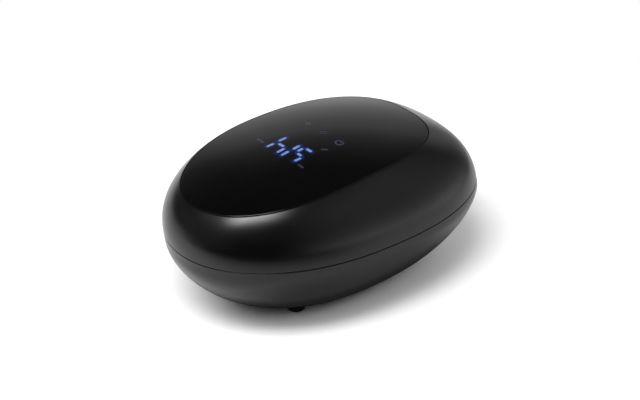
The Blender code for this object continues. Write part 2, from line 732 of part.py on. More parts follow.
def make_heater_stack(root):
    inset = stack_inset()
    heater = add_piece("heating_element", stack_plate(inset, HEATER_Z, HEATER_TOP), HEATER_FILM, root)
    edge = hull_point(pi, SEAM_HEIGHT, inset).x
    tab = block((edge - HEATER_TAB_LENGTH, -HEATER_TAB_WIDTH / 2, HEATER_Z),
                (edge + HEATER_TAB_LENGTH, HEATER_TAB_WIDTH / 2, HEATER_TOP))
    combine(heater, add_tool("heater_tab", tab, heater), "UNION")
    add_piece("clamp_plate", stack_plate(inset, CLAMP_Z, CLAMP_TOP), ALUMINIUM, root)

    pad = add_piece("insulation_pad", stack_plate(inset, PAD_Z, PAD_TOP), FELT, root)
    low = PAD_Z - CLEAR / 2
    high = PAD_TOP + CLEAR / 2
    room = SENSOR_RADIUS + 2 * CLEAR
    fuse_room = (2 * FUSE_RADIUS + 4 * CLEAR, FUSE_LENGTH + 4 * CLEAR, high - low)
    cuts = [moved(turned([(room, low), (room, high)]), (SENSOR_X, 0, 0)), block_at(fuse_room, FUSE_X, 0, low)]
    combine(pad, add_tool("pad_cuts", group(cuts), pad), "DIFFERENCE")
    sensor_low = PAD_TOP - SENSOR_HEIGHT
    sensor = turned([(SENSOR_RADIUS, sensor_low), (SENSOR_RADIUS, PAD_TOP)])
    add_piece("temperature_sensor", moved(sensor, (SENSOR_X, 0, 0)), STEEL, root)
    fuse = turned([(FUSE_RADIUS, -FUSE_LENGTH / 2), (FUSE_RADIUS, FUSE_LENGTH / 2)])
    add_piece("thermal_fuse", moved(fuse, (FUSE_X, 0, PAD_TOP - FUSE_RADIUS), ALONG_Y), LEAD_WHITE, root)

    carrier = add_piece("heater_carrier", stack_plate(inset - CARRIER_MARGIN, CARRIER_Z, CARRIER_TOP),
                        INNER_PLASTIC, root)
    leg_low = BOSS_Z + CLEAR
    leg = [(CARRIER_LEG_RADIUS, leg_low), (CARRIER_LEG_RADIUS, CARRIER_Z + CARRIER_GAUGE / 2)]
    legs = [moved(turned(leg), (x, y, 0)) for _, x, y in foot_places()]
    combine(carrier, add_tool("carrier_legs", group(legs), carrier), "UNION")
    bore = BASE_SCREW_RADIUS + CLEAR
    drill = [(bore, leg_low - CLEAR), (bore, leg_low + BASE_SCREW_BITE + CLEAR)]
    drills = [moved(turned(drill), (x, y, 0)) for _, x, y in foot_places()]
    combine(carrier, add_tool("carrier_drills", group(drills), carrier), "DIFFERENCE")


def drilled_board(name, board_x, length, width, low, parent):
    board = add_piece(name, block_at((length, width, BOARD_GAUGE), board_x, 0, low), BOARD_GREEN, parent)
    hole = SPIGOT_RADIUS + CLEAR
    drill = [(hole, low - CLEAR), (hole, low + BOARD_GAUGE + CLEAR)]
    drills = [moved(turned(drill), (x, y, 0)) for x, y in board_holes(board_x, length, width)]
    combine(board, add_tool(f"{name}_drills", group(drills), board), "DIFFERENCE")


def connector_x():
    return POWER_BOARD_X - POWER_BOARD_LENGTH / 2 + CONNECTOR_EDGE


def make_power_board(root):
    drilled_board("power_board", POWER_BOARD_X, POWER_BOARD_LENGTH, POWER_BOARD_WIDTH, POWER_BOARD_Z, root)
    seat = POWER_BOARD_TOP + CLEAR
    add_piece("power_module", block_at(POWER_MODULE_SIZE, POWER_MODULE_X, 0, seat), COMPONENT, root)
    add_piece("lead_connector", block_at(CONNECTOR_SIZE, connector_x(), 0, seat), LEAD_WHITE, root)
    can = turned([(CAPACITOR_RADIUS, seat), (CAPACITOR_RADIUS, seat + CAPACITOR_HEIGHT)])
    add_piece("filter_capacitor", moved(can, (CAPACITOR_X, 0, 0)), ALUMINIUM, root)


def make_dc_inlet(root):
    face = inlet_face_x()
    back = face - INLET_LENGTH
    floor = face - INLET_SOCKET_DEPTH
    section = [(INLET_FLANGE_RADIUS, back), (INLET_FLANGE_RADIUS, back + INLET_FLANGE_GAUGE),
               (INLET_RADIUS, back + INLET_FLANGE_GAUGE), (INLET_RADIUS, face),
               (INLET_SOCKET_RADIUS, face), (INLET_SOCKET_RADIUS, floor),
               (INLET_PIN_RADIUS, floor), (INLET_PIN_RADIUS, face - INLET_PIN_RADIUS)]
    add_piece("dc_inlet", moved(turned(section), (0, 0, INLET_Z), ALONG_X), COMPONENT, root)


def contact_block(low, stem_low, stem_high):
    body = block_at(CONTACT_SIZE, contact_x(), 0, low)
    stem = turned([(CONTACT_STEM_RADIUS, stem_low), (CONTACT_STEM_RADIUS, stem_high)])
    return body, moved(stem, (contact_x(), 0, 0))


def make_base_catches(root):
    seat = FRAME_TOP + CLEAR
    magnet = turned([(MAGNET_RADIUS, seat), (MAGNET_RADIUS, seat + MAGNET_HEIGHT)])
    for side, x, y in magnet_places():
        add_piece(f"base_magnet_{side}", moved(magnet, (x, y, 0)), STEEL, root)
    body, stem = contact_block(seat, FRAME_Z, seat + CONTACT_SIZE[2] / 2)
    contacts = add_piece("base_contact_block", body, COMPONENT, root)
    combine(contacts, add_tool("base_contact_stem", stem, contacts), "UNION")


def stack_inset():
    return TRAY_INSET + TRAY_DRAFT + HEATER_MARGIN


def lead_x(z, share):
    """Place at the nose, at height z, a share of the way in from the shell to the tray or the carrier."""
    wall = hull_point(pi, z, WALL + SHOULDER).x
    if z > TRAY_Z:
        inset = TRAY_INSET + TRAY_DRAFT * (FLANGE_Z - z) / (FLANGE_Z - TRAY_Z)
    else:
        inset = stack_inset() - CARRIER_MARGIN
    return wall + share * (hull_point(pi, SEAM_HEIGHT, inset).x - wall)


def make_base_leads(root):
    """Wires in the base: their bends lie between the shell and the tray, and then in the bay."""
    plug_x = connector_x() - CONNECTOR_SIZE[0] / 2 - CLEAR
    plug_z = POWER_BOARD_TOP + CLEAR + CONNECTOR_SIZE[2] / 2
    tab_x = hull_point(pi, SEAM_HEIGHT, stack_inset()).x - HEATER_TAB_LENGTH - CLEAR
    tab_z = HEATER_Z + HEATER_GAUGE / 2
    bay = ((lead_x(plug_z, 0) + plug_x) / 2, plug_z)
    drop = [(tab_x, tab_z)]
    drop.extend((lead_x(z, HEATER_LEAD_SHARE), z) for z in (PAD_TOP, CARRIER_Z))
    drop.extend([bay, (plug_x, plug_z)])
    for side, y, look in (("left", HEATER_LEAD_Y, LEAD_RED), ("right", -HEATER_LEAD_Y, LEAD_WHITE)):
        add_lead(f"heater_lead_{side}", [(x, y, z) for x, z in drop], look, root)
    route = [(contact_x(), FRAME_Z - 2 * CLEAR)]
    for fall, share in CONTACT_LEAD_DROPS:
        z = FRAME_Z - fall * (FRAME_Z - CARRIER_TOP)
        route.append((lead_x(z, share), z))
    route.extend([bay, (plug_x, plug_z)])
    add_lead("contact_lead", [(x, 0, z) for x, z in route], LEAD_WHITE, root)


def make_hinge_pin(root):
    length = HINGE_HALF_WIDTH - CLEAR
    add_piece("hinge_pin", hinge_barrel(HINGE_PIN_RADIUS, -length, length), STEEL, root)


# Lid pieces

def display_top():
    """Highest level for the display's flat face, clear of the panel at its corners."""
    corners = [dome(DISPLAY_X + sx * DISPLAY_LENGTH / 2, DISPLAY_WIDTH / 2) for sx in (-1, 1)]
    return min(corners) - PANEL_GAUGE - CLEAR


def control_board_top():
    return display_top() - DISPLAY_HEIGHT - CLEAR


def control_board_low():
    return control_board_top() - BOARD_GAUGE


def liner_top():
    return control_board_low() - LID_BAY_HEIGHT - LID_PAD_GAUGE - CLEAR


def seat_drop():
    return PANEL_GAUGE + GASKET_GAUGE + 2 * CLEAR


def make_lid_shell(pivot):
    shares = [(i / LID_WALL_STEPS) ** LID_STEP_BIAS for i in range(LID_WALL_STEPS + 1)]
    edge_z = [crown_edge(angle) for angle in angles()]
    underside = seat_drop() + SEAT_GAUGE

    def level(share, i, drop):
        return LID_RIM + share * (edge_z[i] - drop - LID_RIM)

    rings = [[hull_point(angle, level(share, i, 0)) for i, angle in enumerate(angles())] for share in shares]
    seat_inset = RIM_LAND + SEAT_WIDTH
    rings.append(crown_ring(RIM_LAND, 0))
    rings.append(crown_ring(RIM_LAND, seat_drop()))
    rings.append(crown_ring(seat_inset, seat_drop()))
    rings.append(crown_ring(seat_inset, underside))
    for share in reversed(shares[2::2]):
        ring = []
        for i, angle in enumerate(angles()):
            z = level(share, i, underside + WALL / 2)
            ring.append(hull_point(angle, z) - hull_normal(angle, z) * WALL)
        rings.append(ring)
    rings.append(hull_ring(LID_RIM, WALL))
    shell = add_piece("lid_shell", skin(rings, closed=True), BLACK_SHELL, pivot)

    crown = [hull_ring(LID_RIM + share * LID_BOSS_HEIGHT * 2, WALL / 3) for share in shares]
    inside = add_tool("lid_inside", skin(crown), shell)
    low = LINER_FLANGE_TOP + CLEAR
    boss = [(LID_BOSS_RADIUS, low), (LID_BOSS_RADIUS, low + LID_BOSS_HEIGHT)]
    places = list(rim_places(LINER_SCREW_ANGLE, CHANNEL_MIDDLE))
    bosses = add_tool("lid_bosses", group([moved(turned(boss), (x, y, 0)) for _, x, y in places]), shell)
    combine(bosses, inside, "INTERSECT")
    combine(shell, bosses, "UNION")

    half = LID_KNUCKLE_WIDTH / 2
    web = add_tool("lid_hinge_web", hinge_web(-half, half, LID_RIM, HINGE_Z + HINGE_WEB_RISE), shell)
    combine(shell, web, "UNION")
    barrel = add_tool("lid_hinge_barrel", hinge_barrel(HINGE_RADIUS, -half, half), shell)
    combine(shell, barrel, "UNION")
    cuts = base_knuckles(HINGE_RADIUS + HINGE_SIDE_GAP, HINGE_SIDE_GAP / 2)
    bore = SMALL_SCREW_RADIUS + CLEAR
    drill = [(bore, low - CLEAR), (bore, low + LINER_SCREW_BITE + CLEAR)]
    cuts.extend(moved(turned(drill), (x, y, 0)) for _, x, y in places)
    combine(shell, add_tool("lid_cuts", group(cuts), shell), "DIFFERENCE")
    pin_bore = hinge_barrel(HINGE_PIN_RADIUS + CLEAR, -half - CLEAR, half + CLEAR)
    combine(shell, add_tool("lid_pin_bore", pin_bore, shell), "DIFFERENCE")


def make_top_panel(pivot):
    edge = crown_ring(RIM_LAND + PANEL_GAP, 0)
    cx = middle_x(edge)

    def under(x, y):
        return dome(x, y) - PANEL_GAUGE

    rings = [shrink_ring(edge, share, dome) for share in PANEL_SHARES]
    rings.extend(shrink_ring(edge, share, under) for share in reversed(PANEL_SHARES))
    solid = skin(rings, start=Vector((cx, 0, dome(cx, 0))), end=Vector((cx, 0, under(cx, 0))))
    add_piece("top_panel", solid, BLACK_GLOSS, pivot)

    high = PANEL_GAUGE + CLEAR
    low = high + GASKET_GAUGE
    outer = RIM_LAND + 2 * PANEL_GAP
    inner = RIM_LAND + SEAT_WIDTH - PANEL_GAP
    gasket = [crown_ring(outer, high), crown_ring(outer, low),
              crown_ring(inner, low), crown_ring(inner, high)]
    add_piece("panel_gasket", skin(gasket, closed=True), RUBBER, pivot)


def touch_places():
    return (("plus", TOUCH_PITCH), ("mode", 0), ("power", -TOUCH_PITCH))


def make_light_mask(pivot):
    """Block between the board and the panel, with a window for the display and one for each mark."""
    low = control_board_top() + CLEAR
    steps = [i / MASK_CELLS for i in range(MASK_CELLS + 1)]
    xs = [MASK_FRONT_X + (MASK_BACK_X - MASK_FRONT_X) * step for step in steps]
    ys = [MASK_WIDTH * (step - 0.5) for step in steps]
    drop = PANEL_GAUGE + CLEAR
    rows = [[Vector((x, y, dome(x, y) - drop)) for y in ys] for x in xs]
    rings = []
    for row in rows:
        ring = row + [Vector((p.x, p.y, low)) for p in reversed(row)]
        rings.append(ring)
    mask = add_piece("light_mask", skin(rings), INNER_PLASTIC, pivot)
    tall = PANEL_HEIGHT - low + CLEAR
    window = (DISPLAY_LENGTH + 2 * CLEAR, DISPLAY_WIDTH + 2 * CLEAR, tall)
    cuts = [block_at(window, DISPLAY_X, 0, low - CLEAR)]
    room = TOUCH_RADIUS + CLEAR
    for _, y in touch_places():
        cuts.append(moved(turned([(room, low - CLEAR), (room, PANEL_HEIGHT)]), (TOUCH_X, y, 0)))
    slot = (INDICATOR_SIZE[0] + 2 * CLEAR, INDICATOR_SIZE[1] + 2 * CLEAR, tall)
    cuts.append(block_at(slot, INDICATOR_X, INDICATOR_Y, low - CLEAR))
    combine(mask, add_tool("mask_windows", group(cuts), mask), "DIFFERENCE")


def make_control_board(pivot):
    drilled_board("control_board", CONTROL_BOARD_X, CONTROL_BOARD_LENGTH, CONTROL_BOARD_WIDTH,
                  control_board_low(), pivot)
    seat = control_board_top() + CLEAR
    display = block_at((DISPLAY_LENGTH, DISPLAY_WIDTH, DISPLAY_HEIGHT), DISPLAY_X, 0, seat)
    add_piece("led_display", display, DISPLAY_GREY, pivot)
    add_piece("indicator_led", block_at(INDICATOR_SIZE, INDICATOR_X, INDICATOR_Y, seat), LED_BLUE, pivot)
    for name, y in touch_places():
        reach = abs(y) + TOUCH_RADIUS
        roof = min(dome(TOUCH_X - TOUCH_RADIUS, reach), dome(TOUCH_X + TOUCH_RADIUS, reach))
        high = roof - PANEL_GAUGE - CLEAR
        tube = turned_ring([(TOUCH_RADIUS, seat), (TOUCH_RADIUS, high), (TOUCH_BORE_RADIUS, high),
                            (TOUCH_BORE_RADIUS, seat)])
        add_piece(f"touch_pad_{name}", moved(tube, (TOUCH_X, y, 0)), SILICONE, pivot)
    under = control_board_low() - CLEAR
    add_piece("control_chip", block_at(CHIP_SIZE, CHIP_X, 0, under - CHIP_SIZE[2]), COMPONENT, pivot)
    buzzer = turned([(BUZZER_RADIUS, under - BUZZER_HEIGHT), (BUZZER_RADIUS, under)], BUZZER_SEGMENTS)
    add_piece("buzzer", moved(buzzer, (BUZZER_X, BUZZER_Y, 0)), COMPONENT, pivot)


def make_lid_liner(pivot):
    """Inner dome with a flat flange, its screws, the pad on top of it and the posts under the board."""
    outer = WALL + CLEAR
    inner = hull_ring(SEAM_HEIGHT, LINER_FLANGE_WIDTH + outer)
    cx = middle_x(inner)
    half_length = max(p.x for p in inner) - cx
    half_width = max(p.y for p in inner)
    rise = liner_top() - LINER_FLANGE_TOP

    def dome_over(base):
        def height(x, y):
            share = min(((x - cx) / half_length) ** 2 + (y / half_width) ** 2, 1) ** 0.5
            return base + rise * (1 - share ** LINER_FULLNESS)
        return height

    over = dome_over(LINER_FLANGE_TOP)
    under = dome_over(LINER_Z)
    rings = [shrink_ring(inner, share, under) for share in LINER_SHARES]
    rings.append([Vector((p.x, p.y, LINER_Z)) for p in inner])
    rings.append(hull_ring(LINER_FLANGE_TOP, outer, LINER_Z))
    rings.append(hull_ring(LINER_FLANGE_TOP, outer, LINER_FLANGE_TOP))
    rings.append([Vector((p.x, p.y, LINER_FLANGE_TOP)) for p in inner])
    rings.extend(shrink_ring(inner, share, over) for share in reversed(LINER_SHARES))
    solid = skin(rings, start=Vector((cx, 0, under(cx, 0))), end=Vector((cx, 0, over(cx, 0))))
    liner = add_piece("lid_liner", solid, ALUMINIUM, pivot)

    posts = []
    rooms = []
    for x, y in board_holes(CONTROL_BOARD_X, CONTROL_BOARD_LENGTH, CONTROL_BOARD_WIDTH):
        foot = over(x, y) - LINER_GAUGE / 2
        top = control_board_low() - CLEAR
        post = [(LID_POST_RADIUS, foot), (LID_POST_RADIUS, top), (SPIGOT_RADIUS, top),
                (SPIGOT_RADIUS, control_board_top() + SPIGOT_RISE)]
        posts.append(moved(turned(post), (x, y, 0)))
        room = LID_POST_RADIUS + CLEAR
        rooms.append(moved(turned([(room, foot), (room, top)]), (x, y, 0)))
    combine(liner, add_tool("liner_posts", group(posts), liner), "UNION")
    hole = SMALL_SCREW_RADIUS + CLEAR
    drill = [(hole, LINER_Z - CLEAR), (hole, LINER_FLANGE_TOP + CLEAR)]
    places = list(rim_places(LINER_SCREW_ANGLE, CHANNEL_MIDDLE))
    drills = [moved(turned(drill), (x, y, 0)) for _, x, y in places]
    stem_hole = CONTACT_STEM_RADIUS + CLEAR
    stem = turned([(stem_hole, LINER_Z - CLEAR), (stem_hole, LINER_FLANGE_TOP + CLEAR)])
    drills.append(moved(stem, (contact_x(), 0, 0)))
    combine(liner, add_tool("liner_drills", group(drills), liner), "DIFFERENCE")

    head = LINER_Z - CLEAR
    screw = [(SMALL_SCREW_HEAD_RADIUS, head - SMALL_SCREW_HEAD_HEIGHT), (SMALL_SCREW_HEAD_RADIUS, head),
             (SMALL_SCREW_RADIUS, head), (SMALL_SCREW_RADIUS, LINER_FLANGE_TOP + CLEAR + LINER_SCREW_BITE)]
    for name, x, y in places:
        add_piece(f"liner_screw_{name}", moved(turned(screw), (x, y, 0)), STEEL, pivot)

    pad_low = dome_over(LINER_FLANGE_TOP + CLEAR)
    pad_high = dome_over(LINER_FLANGE_TOP + CLEAR + LID_PAD_GAUGE)
    steps = [share for share in LINER_SHARES if share < LID_PAD_REACH] + [LID_PAD_REACH]
    rings = [shrink_ring(inner, share, pad_low) for share in steps]
    rings.extend(shrink_ring(inner, share, pad_high) for share in reversed(steps))
    solid = skin(rings, start=Vector((cx, 0, pad_low(cx, 0))), end=Vector((cx, 0, pad_high(cx, 0))))
    pad = add_piece("lid_insulation", solid, FELT, pivot)
    combine(pad, add_tool("lid_pad_rooms", group(rooms), pad), "DIFFERENCE")


def make_lid_catches(pivot):
    seat = LINER_Z - CLEAR
    magnet = turned([(MAGNET_RADIUS, seat - MAGNET_HEIGHT), (MAGNET_RADIUS, seat)])
    for side, x, y in magnet_places():
        add_piece(f"lid_magnet_{side}", moved(magnet, (x, y, 0)), STEEL, pivot)
    low = seat - CONTACT_SIZE[2]
    stem_top = LINER_FLANGE_TOP + CLEAR
    body, stem = contact_block(low, low + CONTACT_SIZE[2] / 2, stem_top)
    contacts = add_piece("lid_contact_block", body, COMPONENT, pivot)
    combine(contacts, add_tool("lid_contact_stem", stem, contacts), "UNION")
    start = Vector((contact_x(), 0, stem_top + CLEAR))
    board_x = CONTROL_BOARD_X - CONTROL_BOARD_LENGTH / 2 - CLEAR
    end = Vector((board_x, 0, control_board_low() + BOARD_GAUGE / 2))
    run = end - start
    bends = [start + Vector((run.x * along, 0, run.z * up)) for along, up in LID_LEAD_BENDS]
    add_lead("lid_lead", [start, *bends, end], LEAD_WHITE, pivot)


# Assembly

def body_shift():
    """Moves the middle of the whole length, hinge included, over the origin."""
    heights = [SEAM_HEIGHT + (PANEL_HEIGHT - SEAM_HEIGHT) * i / 200 for i in range(200)]
    nose = min(hull_point(pi, z).x for z in heights)
    return -(nose + HINGE_X + HINGE_RADIUS) / 2


def main():
    for item in list(bpy.data.objects):
        bpy.data.objects.remove(item)
    root = add_empty("heater", (body_shift(), 0, 0))
    pivot = add_empty("lid_pivot", (HINGE_X, 0, HINGE_Z), root)
    make_base_shell(root)
    make_feet(root)
    make_rim_frame(root)
    make_stone_tray(root)
    make_heater_stack(root)
    make_power_board(root)
    make_dc_inlet(root)
    make_base_catches(root)
    make_base_leads(root)
    make_hinge_pin(root)
    make_lid_shell(pivot)
    make_top_panel(pivot)
    make_light_mask(pivot)
    make_control_board(pivot)
    make_lid_liner(pivot)
    make_lid_catches(pivot)


main()
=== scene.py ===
"""Looks of the hot stone heater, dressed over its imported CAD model.

+Z up, in the CAD's own frame. The casing is worked out again here, finer, from the same sizes. Lengths are
millimetres until a mesh is made of them, and metres on the stage.
"""

import bpy
import bmesh
import numpy as np
from math import cos, pi, radians, sin
from mathutils import Matrix, Quaternion, Vector


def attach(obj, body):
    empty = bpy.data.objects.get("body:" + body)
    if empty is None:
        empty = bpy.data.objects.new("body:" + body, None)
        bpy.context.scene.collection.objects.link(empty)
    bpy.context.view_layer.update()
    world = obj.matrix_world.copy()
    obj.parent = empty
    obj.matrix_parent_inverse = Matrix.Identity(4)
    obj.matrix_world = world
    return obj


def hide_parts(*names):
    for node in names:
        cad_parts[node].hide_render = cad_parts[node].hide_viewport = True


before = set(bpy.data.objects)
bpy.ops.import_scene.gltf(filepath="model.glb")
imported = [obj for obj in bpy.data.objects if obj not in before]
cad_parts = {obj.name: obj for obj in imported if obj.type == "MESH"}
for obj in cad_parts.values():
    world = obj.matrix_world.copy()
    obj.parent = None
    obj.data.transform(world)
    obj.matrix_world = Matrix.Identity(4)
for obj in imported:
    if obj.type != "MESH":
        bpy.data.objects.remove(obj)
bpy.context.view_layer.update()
scene = bpy.context.scene

MM = 0.001

# Casing outline, a trace narrower and lower than in the CAD so that its finer facets stay in the same box
BODY_LENGTH = 199.99
BODY_WIDTH = 135.08
UNDERSIDE_LENGTH = 92
WAIST_Z = 47.6
SEAM_Z = 52
CROWN_RISE = 59.2
CROWN_LEAN = 10.5
KEEL_LEAN = 3.3
NOSE_SQUARENESS = 2.1
TAIL_SQUARENESS = 2.37
TAIL_WIDENING = 0.024
CROWN_FULLNESS = 2.53
CROWN_ROUNDNESS = 1.39
KEEL_FULLNESS = 1.56
KEEL_ROUNDNESS = 2.27

# Top panel and its seat
PANEL_Z = 93.35
PANEL_SLOPE = 0.0108
PANEL_RADIUS_LONG = 307
PANEL_RADIUS_CROSS = 218
PANEL_GAUGE = 2.5
PANEL_GAP = 0.4
RIM_LAND = 0.5
SEAT_WIDTH = 6
SEAT_DROP = 3.7
SEAT_GAUGE = 2.2

# Walls, fits and heights
WALL = 2.6
SHOULDER = 0.8
CLEAR = 0.3
SEAM_GAP = 0.4
UNDERSIDE_Z = 3
FLOOR_Z = 5.6
BOSS_Z = 9
BASE_RIM = SEAM_Z - SEAM_GAP / 2
LID_RIM = SEAM_Z + SEAM_GAP / 2
FRAME_TOP = 47.5
FRAME_Z = 44.9
SHOULDER_Z = FRAME_Z - CLEAR
FLANGE_Z = FRAME_TOP + CLEAR
TRAY_GAUGE = 1.2
FLANGE_TOP = FLANGE_Z + TRAY_GAUGE
TRAY_Z = 28
TRAY_DRAFT = 13
LINER_Z = 52.6
LINER_GAUGE = 1.5
LINER_FLANGE_TOP = LINER_Z + LINER_GAUGE
LINER_FULLNESS = 2.4

# Insets from the outside at the seam
FRAME_INSET = WALL + CLEAR
CHANNEL_MIDDLE = FRAME_INSET + 3
FLANGE_INSET = FRAME_INSET + 6
TRAY_INSET = FLANGE_INSET + 9
SEAL_INSET = TRAY_INSET - 3
LINER_INSET = FRAME_INSET + 15

# Hinge
HINGE_X = 100
HINGE_RADIUS = 2.79
HINGE_PIN_RADIUS = 1
HINGE_GAP = 0.4
KNUCKLE_HALF = 6.5
HINGE_HALF = KNUCKLE_HALF + HINGE_GAP + 6
HINGE_WEB_DEPTH = 3
HINGE_WEB_RISE = 5
WEB_STEP = 0.15

SEGMENTS = 160


# Casing shape, in the body frame

ANGLES = np.linspace(0, 2 * pi, SEGMENTS, endpoint=False)


KEEL_FALL = (1 - (UNDERSIDE_LENGTH / BODY_LENGTH) ** KEEL_ROUNDNESS) ** (1 / KEEL_FULLNESS)
KEEL_DROP = (WAIST_Z - UNDERSIDE_Z) / KEEL_FALL


def plan(angle):
    """Unit plan outline, rounder at the nose and squarer at the tail."""
    along = np.cos(angle)
    across = np.sin(angle)
    power = NOSE_SQUARENESS + (TAIL_SQUARENESS - NOSE_SQUARENESS) * (0.5 + 0.5 * along)
    x = np.abs(along) ** (2 / power) * np.sign(along)
    y = np.abs(across) ** (2 / power) * np.sign(across)
    return x, y * (1 + TAIL_WIDENING * x)


def girth(z):
    rise = np.clip((z - WAIST_Z) / CROWN_RISE, 0, 1)
    fall = np.clip((WAIST_Z - z) / KEEL_DROP, 0, 1)
    above = (1 - rise ** CROWN_FULLNESS) ** (1 / CROWN_ROUNDNESS)
    below = (1 - fall ** KEEL_FULLNESS) ** (1 / KEEL_ROUNDNESS)
    return np.where(z >= WAIST_Z, above, below)


def lean(z):
    above = -CROWN_LEAN * (z - WAIST_Z) / CROWN_RISE
    below = -KEEL_LEAN * (WAIST_Z - z) / KEEL_DROP
    return np.where(z >= WAIST_Z, above, below)


def hull(angle, z, inset=0):
    """Points on the casing's outside at heights z, moved in level by the inset."""
    x, y = plan(angle)
    z = np.asarray(z, float) + 0 * x
    half_length = BODY_LENGTH / 2 * girth(z) - inset
    half_width = BODY_WIDTH / 2 * girth(z) - inset
    return np.stack([half_length * x + lean(z), half_width * y, z], -1)


def hull_normal(angle, z):
    turn = 0.0005
    rise = 0.5
    along = hull(angle + turn, z) - hull(angle - turn, z)
    up = hull(angle, z + rise) - hull(angle, z - rise)
    normal = np.cross(along, up)
    return normal / np.linalg.norm(normal, axis=-1, keepdims=True)


def ring(z, inset=0, at_z=None):
    points = hull(ANGLES, z, inset)
    points[:, 2] = z if at_z is None else at_z
    return points


def dome(x, y):
    """Height of the top panel's outside."""
    fall = x * x / (2 * PANEL_RADIUS_LONG) + y * y / (2 * PANEL_RADIUS_CROSS)
    return PANEL_Z + PANEL_SLOPE * x - fall


def crown_edge():
    """Heights at which the casing's side meets the panel's dome."""
    low = np.full(SEGMENTS, WAIST_Z)
    high = low + CROWN_RISE
    for _ in range(50):
        middle = (low + high) / 2
        points = hull(ANGLES, middle)
        under = dome(points[:, 0], points[:, 1]) > middle
        low = np.where(under, middle, low)
        high = np.where(under, high, middle)
    return low


EDGE_Z = crown_edge()


def crown_ring(inset, drop):
    """Ring inside the crown's edge by the inset, below the dome by the drop."""
    edge = hull(ANGLES, EDGE_Z)
    run = np.roll(edge, -1, 0) - np.roll(edge, 1, 0)
    run[:, 2] = 0
    run /= np.linalg.norm(run, axis=1, keepdims=True)
    x = edge[:, 0] - run[:, 1] * inset
    y = edge[:, 1] + run[:, 0] * inset
    return np.stack([x, y, dome(x, y) - drop], 1)


# The shift moves the middle of the whole length, hinge included, over the origin
NOSE_X = hull(pi, np.linspace(SEAM_Z, PANEL_Z, 200, endpoint=False))[:, 0].min()
SHIFT = -float(NOSE_X + HINGE_X + HINGE_RADIUS) / 2


def middle_x(points):
    return (points[:, 0].min() + points[:, 0].max()) / 2


def drawn_in(points, share, height):
    """Ring drawn in to its middle by a share, laid on a height function of (x, y)."""
    cx = middle_x(points)
    x = cx + (points[:, 0] - cx) * share
    y = points[:, 1] * share
    return np.stack([x, y, height(x, y) + 0 * x], 1)


# Solids: a list of points and a list of faces

LONGEST_SHARE = 0.46
HOLDING_REACH = 1.25


def toward(a, b, distance):
    """Point at a distance from a on the way to b, held back before the middle."""
    step = b - a
    length = np.linalg.norm(step, axis=-1, keepdims=True)
    return a + step * np.minimum(distance / np.maximum(length, 1e-6), LONGEST_SHARE)


def rounded(rows, radii, closed=False, steps=5):
    """Rows of a section, with each corner that has a radius turned into an arc between two holding rows."""
    made = []
    last = len(rows) - 1
    for i, (row, radius) in enumerate(zip(rows, radii)):
        if not radius or (not closed and i in (0, last)):
            made.append(row)
            continue
        before = rows[i - 1]
        after = rows[0 if i == last else i + 1]
        start = toward(row, before, radius)
        end = toward(row, after, radius)
        made.append(toward(row, before, radius * HOLDING_REACH))
        for t in np.linspace(0, 1, steps + 1):
            made.append((1 - t) ** 2 * start + 2 * t * (1 - t) * row + t * t * end)
        made.append(toward(row, after, radius * HOLDING_REACH))
    return made


def skin(rows, closed=False, start=None, end=None):
    """Faces over rows of points: closed on itself, or shut by a flat cap or a point at each end."""
    count = len(rows[0])
    points = [tuple(p) for row in rows for p in row]
    faces = []
    for k in range(len(rows) if closed else len(rows) - 1):
        low = k * count
        high = (k + 1) % len(rows) * count
        for i in range(count):
            j = (i + 1) % count
            faces.append((low + i, low + j, high + j, high + i))
    if not closed:
        for first, point in ((0, start), (len(points) - count, end)):
            loop = list(range(first, first + count))
            if point is None:
                faces.append(tuple(loop))
                continue
            points.append(tuple(point))
            faces.extend((loop[i], loop[(i + 1) % count], len(points) - 1) for i in range(count))
    return points, faces


def domed(rows, radii, cx, first, last):
    """Skin over rounded rows that ends in the middle of two height functions."""
    start, end = ((cx, 0, float(height(cx, 0))) for height in (first, last))
    return skin(rounded(rows, radii), start=start, end=end)


def lathe(profile, radii=None, segments=48):
    """Turned solid about Z from (radius, z) steps, with a rounding radius for each step."""
    steps = [np.array(step, float) for step in profile]
    if radii:
        steps = rounded(steps, radii, steps=4)
    turns = np.linspace(0, 2 * pi, segments, endpoint=False)
    rows = [np.stack([r * np.cos(turns), r * np.sin(turns), z + 0 * turns], 1) for r, z in steps]
    return skin(rows)


def block(low, high):
    corners = [(x, y, z) for z in (low[2], high[2]) for x, y in
               ((low[0], low[1]), (high[0], low[1]), (high[0], high[1]), (low[0], high[1]))]
    return corners, [(0, 1, 2, 3), (4, 5, 6, 7), (0, 1, 5, 4), (1, 2, 6, 5), (2, 3, 7, 6), (3, 0, 4, 7)]


def put(solid, x, y, z=0, turn=Matrix()):
    matrix = Matrix.Translation((x, y, z)) @ turn
    return [tuple(matrix @ Vector(p)) for p in solid[0]], solid[1]


def group(solids):
    points = []
    faces = []
    for solid_points, solid_faces in solids:
        faces.extend(tuple(i + len(points) for i in face) for face in solid_faces)
        points.extend(solid_points)
    return points, faces


ALONG_X = Matrix.Rotation(pi / 2, 4, "Y")
ALONG_Y = Matrix.Rotation(-pi / 2, 4, "X")
UPSIDE_DOWN = Matrix.Rotation(pi, 4, "X")


# Objects

def place_object(name, data):
    item = bpy.data.objects.new(name, data)
    scene.collection.objects.link(item)
    return item


def new_object(name, solid):
    """Mesh object, in metres and in the CAD's frame, from a solid in the body frame."""
    mesh = bpy.data.meshes.new(name)
    mesh.from_pydata([((x + SHIFT) * MM, y * MM, z * MM) for x, y, z in solid[0]], [], solid[1])
    form = bmesh.new()
    form.from_mesh(mesh)
    bmesh.ops.recalc_face_normals(form, faces=form.faces)
    form.to_mesh(mesh)
    form.free()
    return place_object(name, mesh)


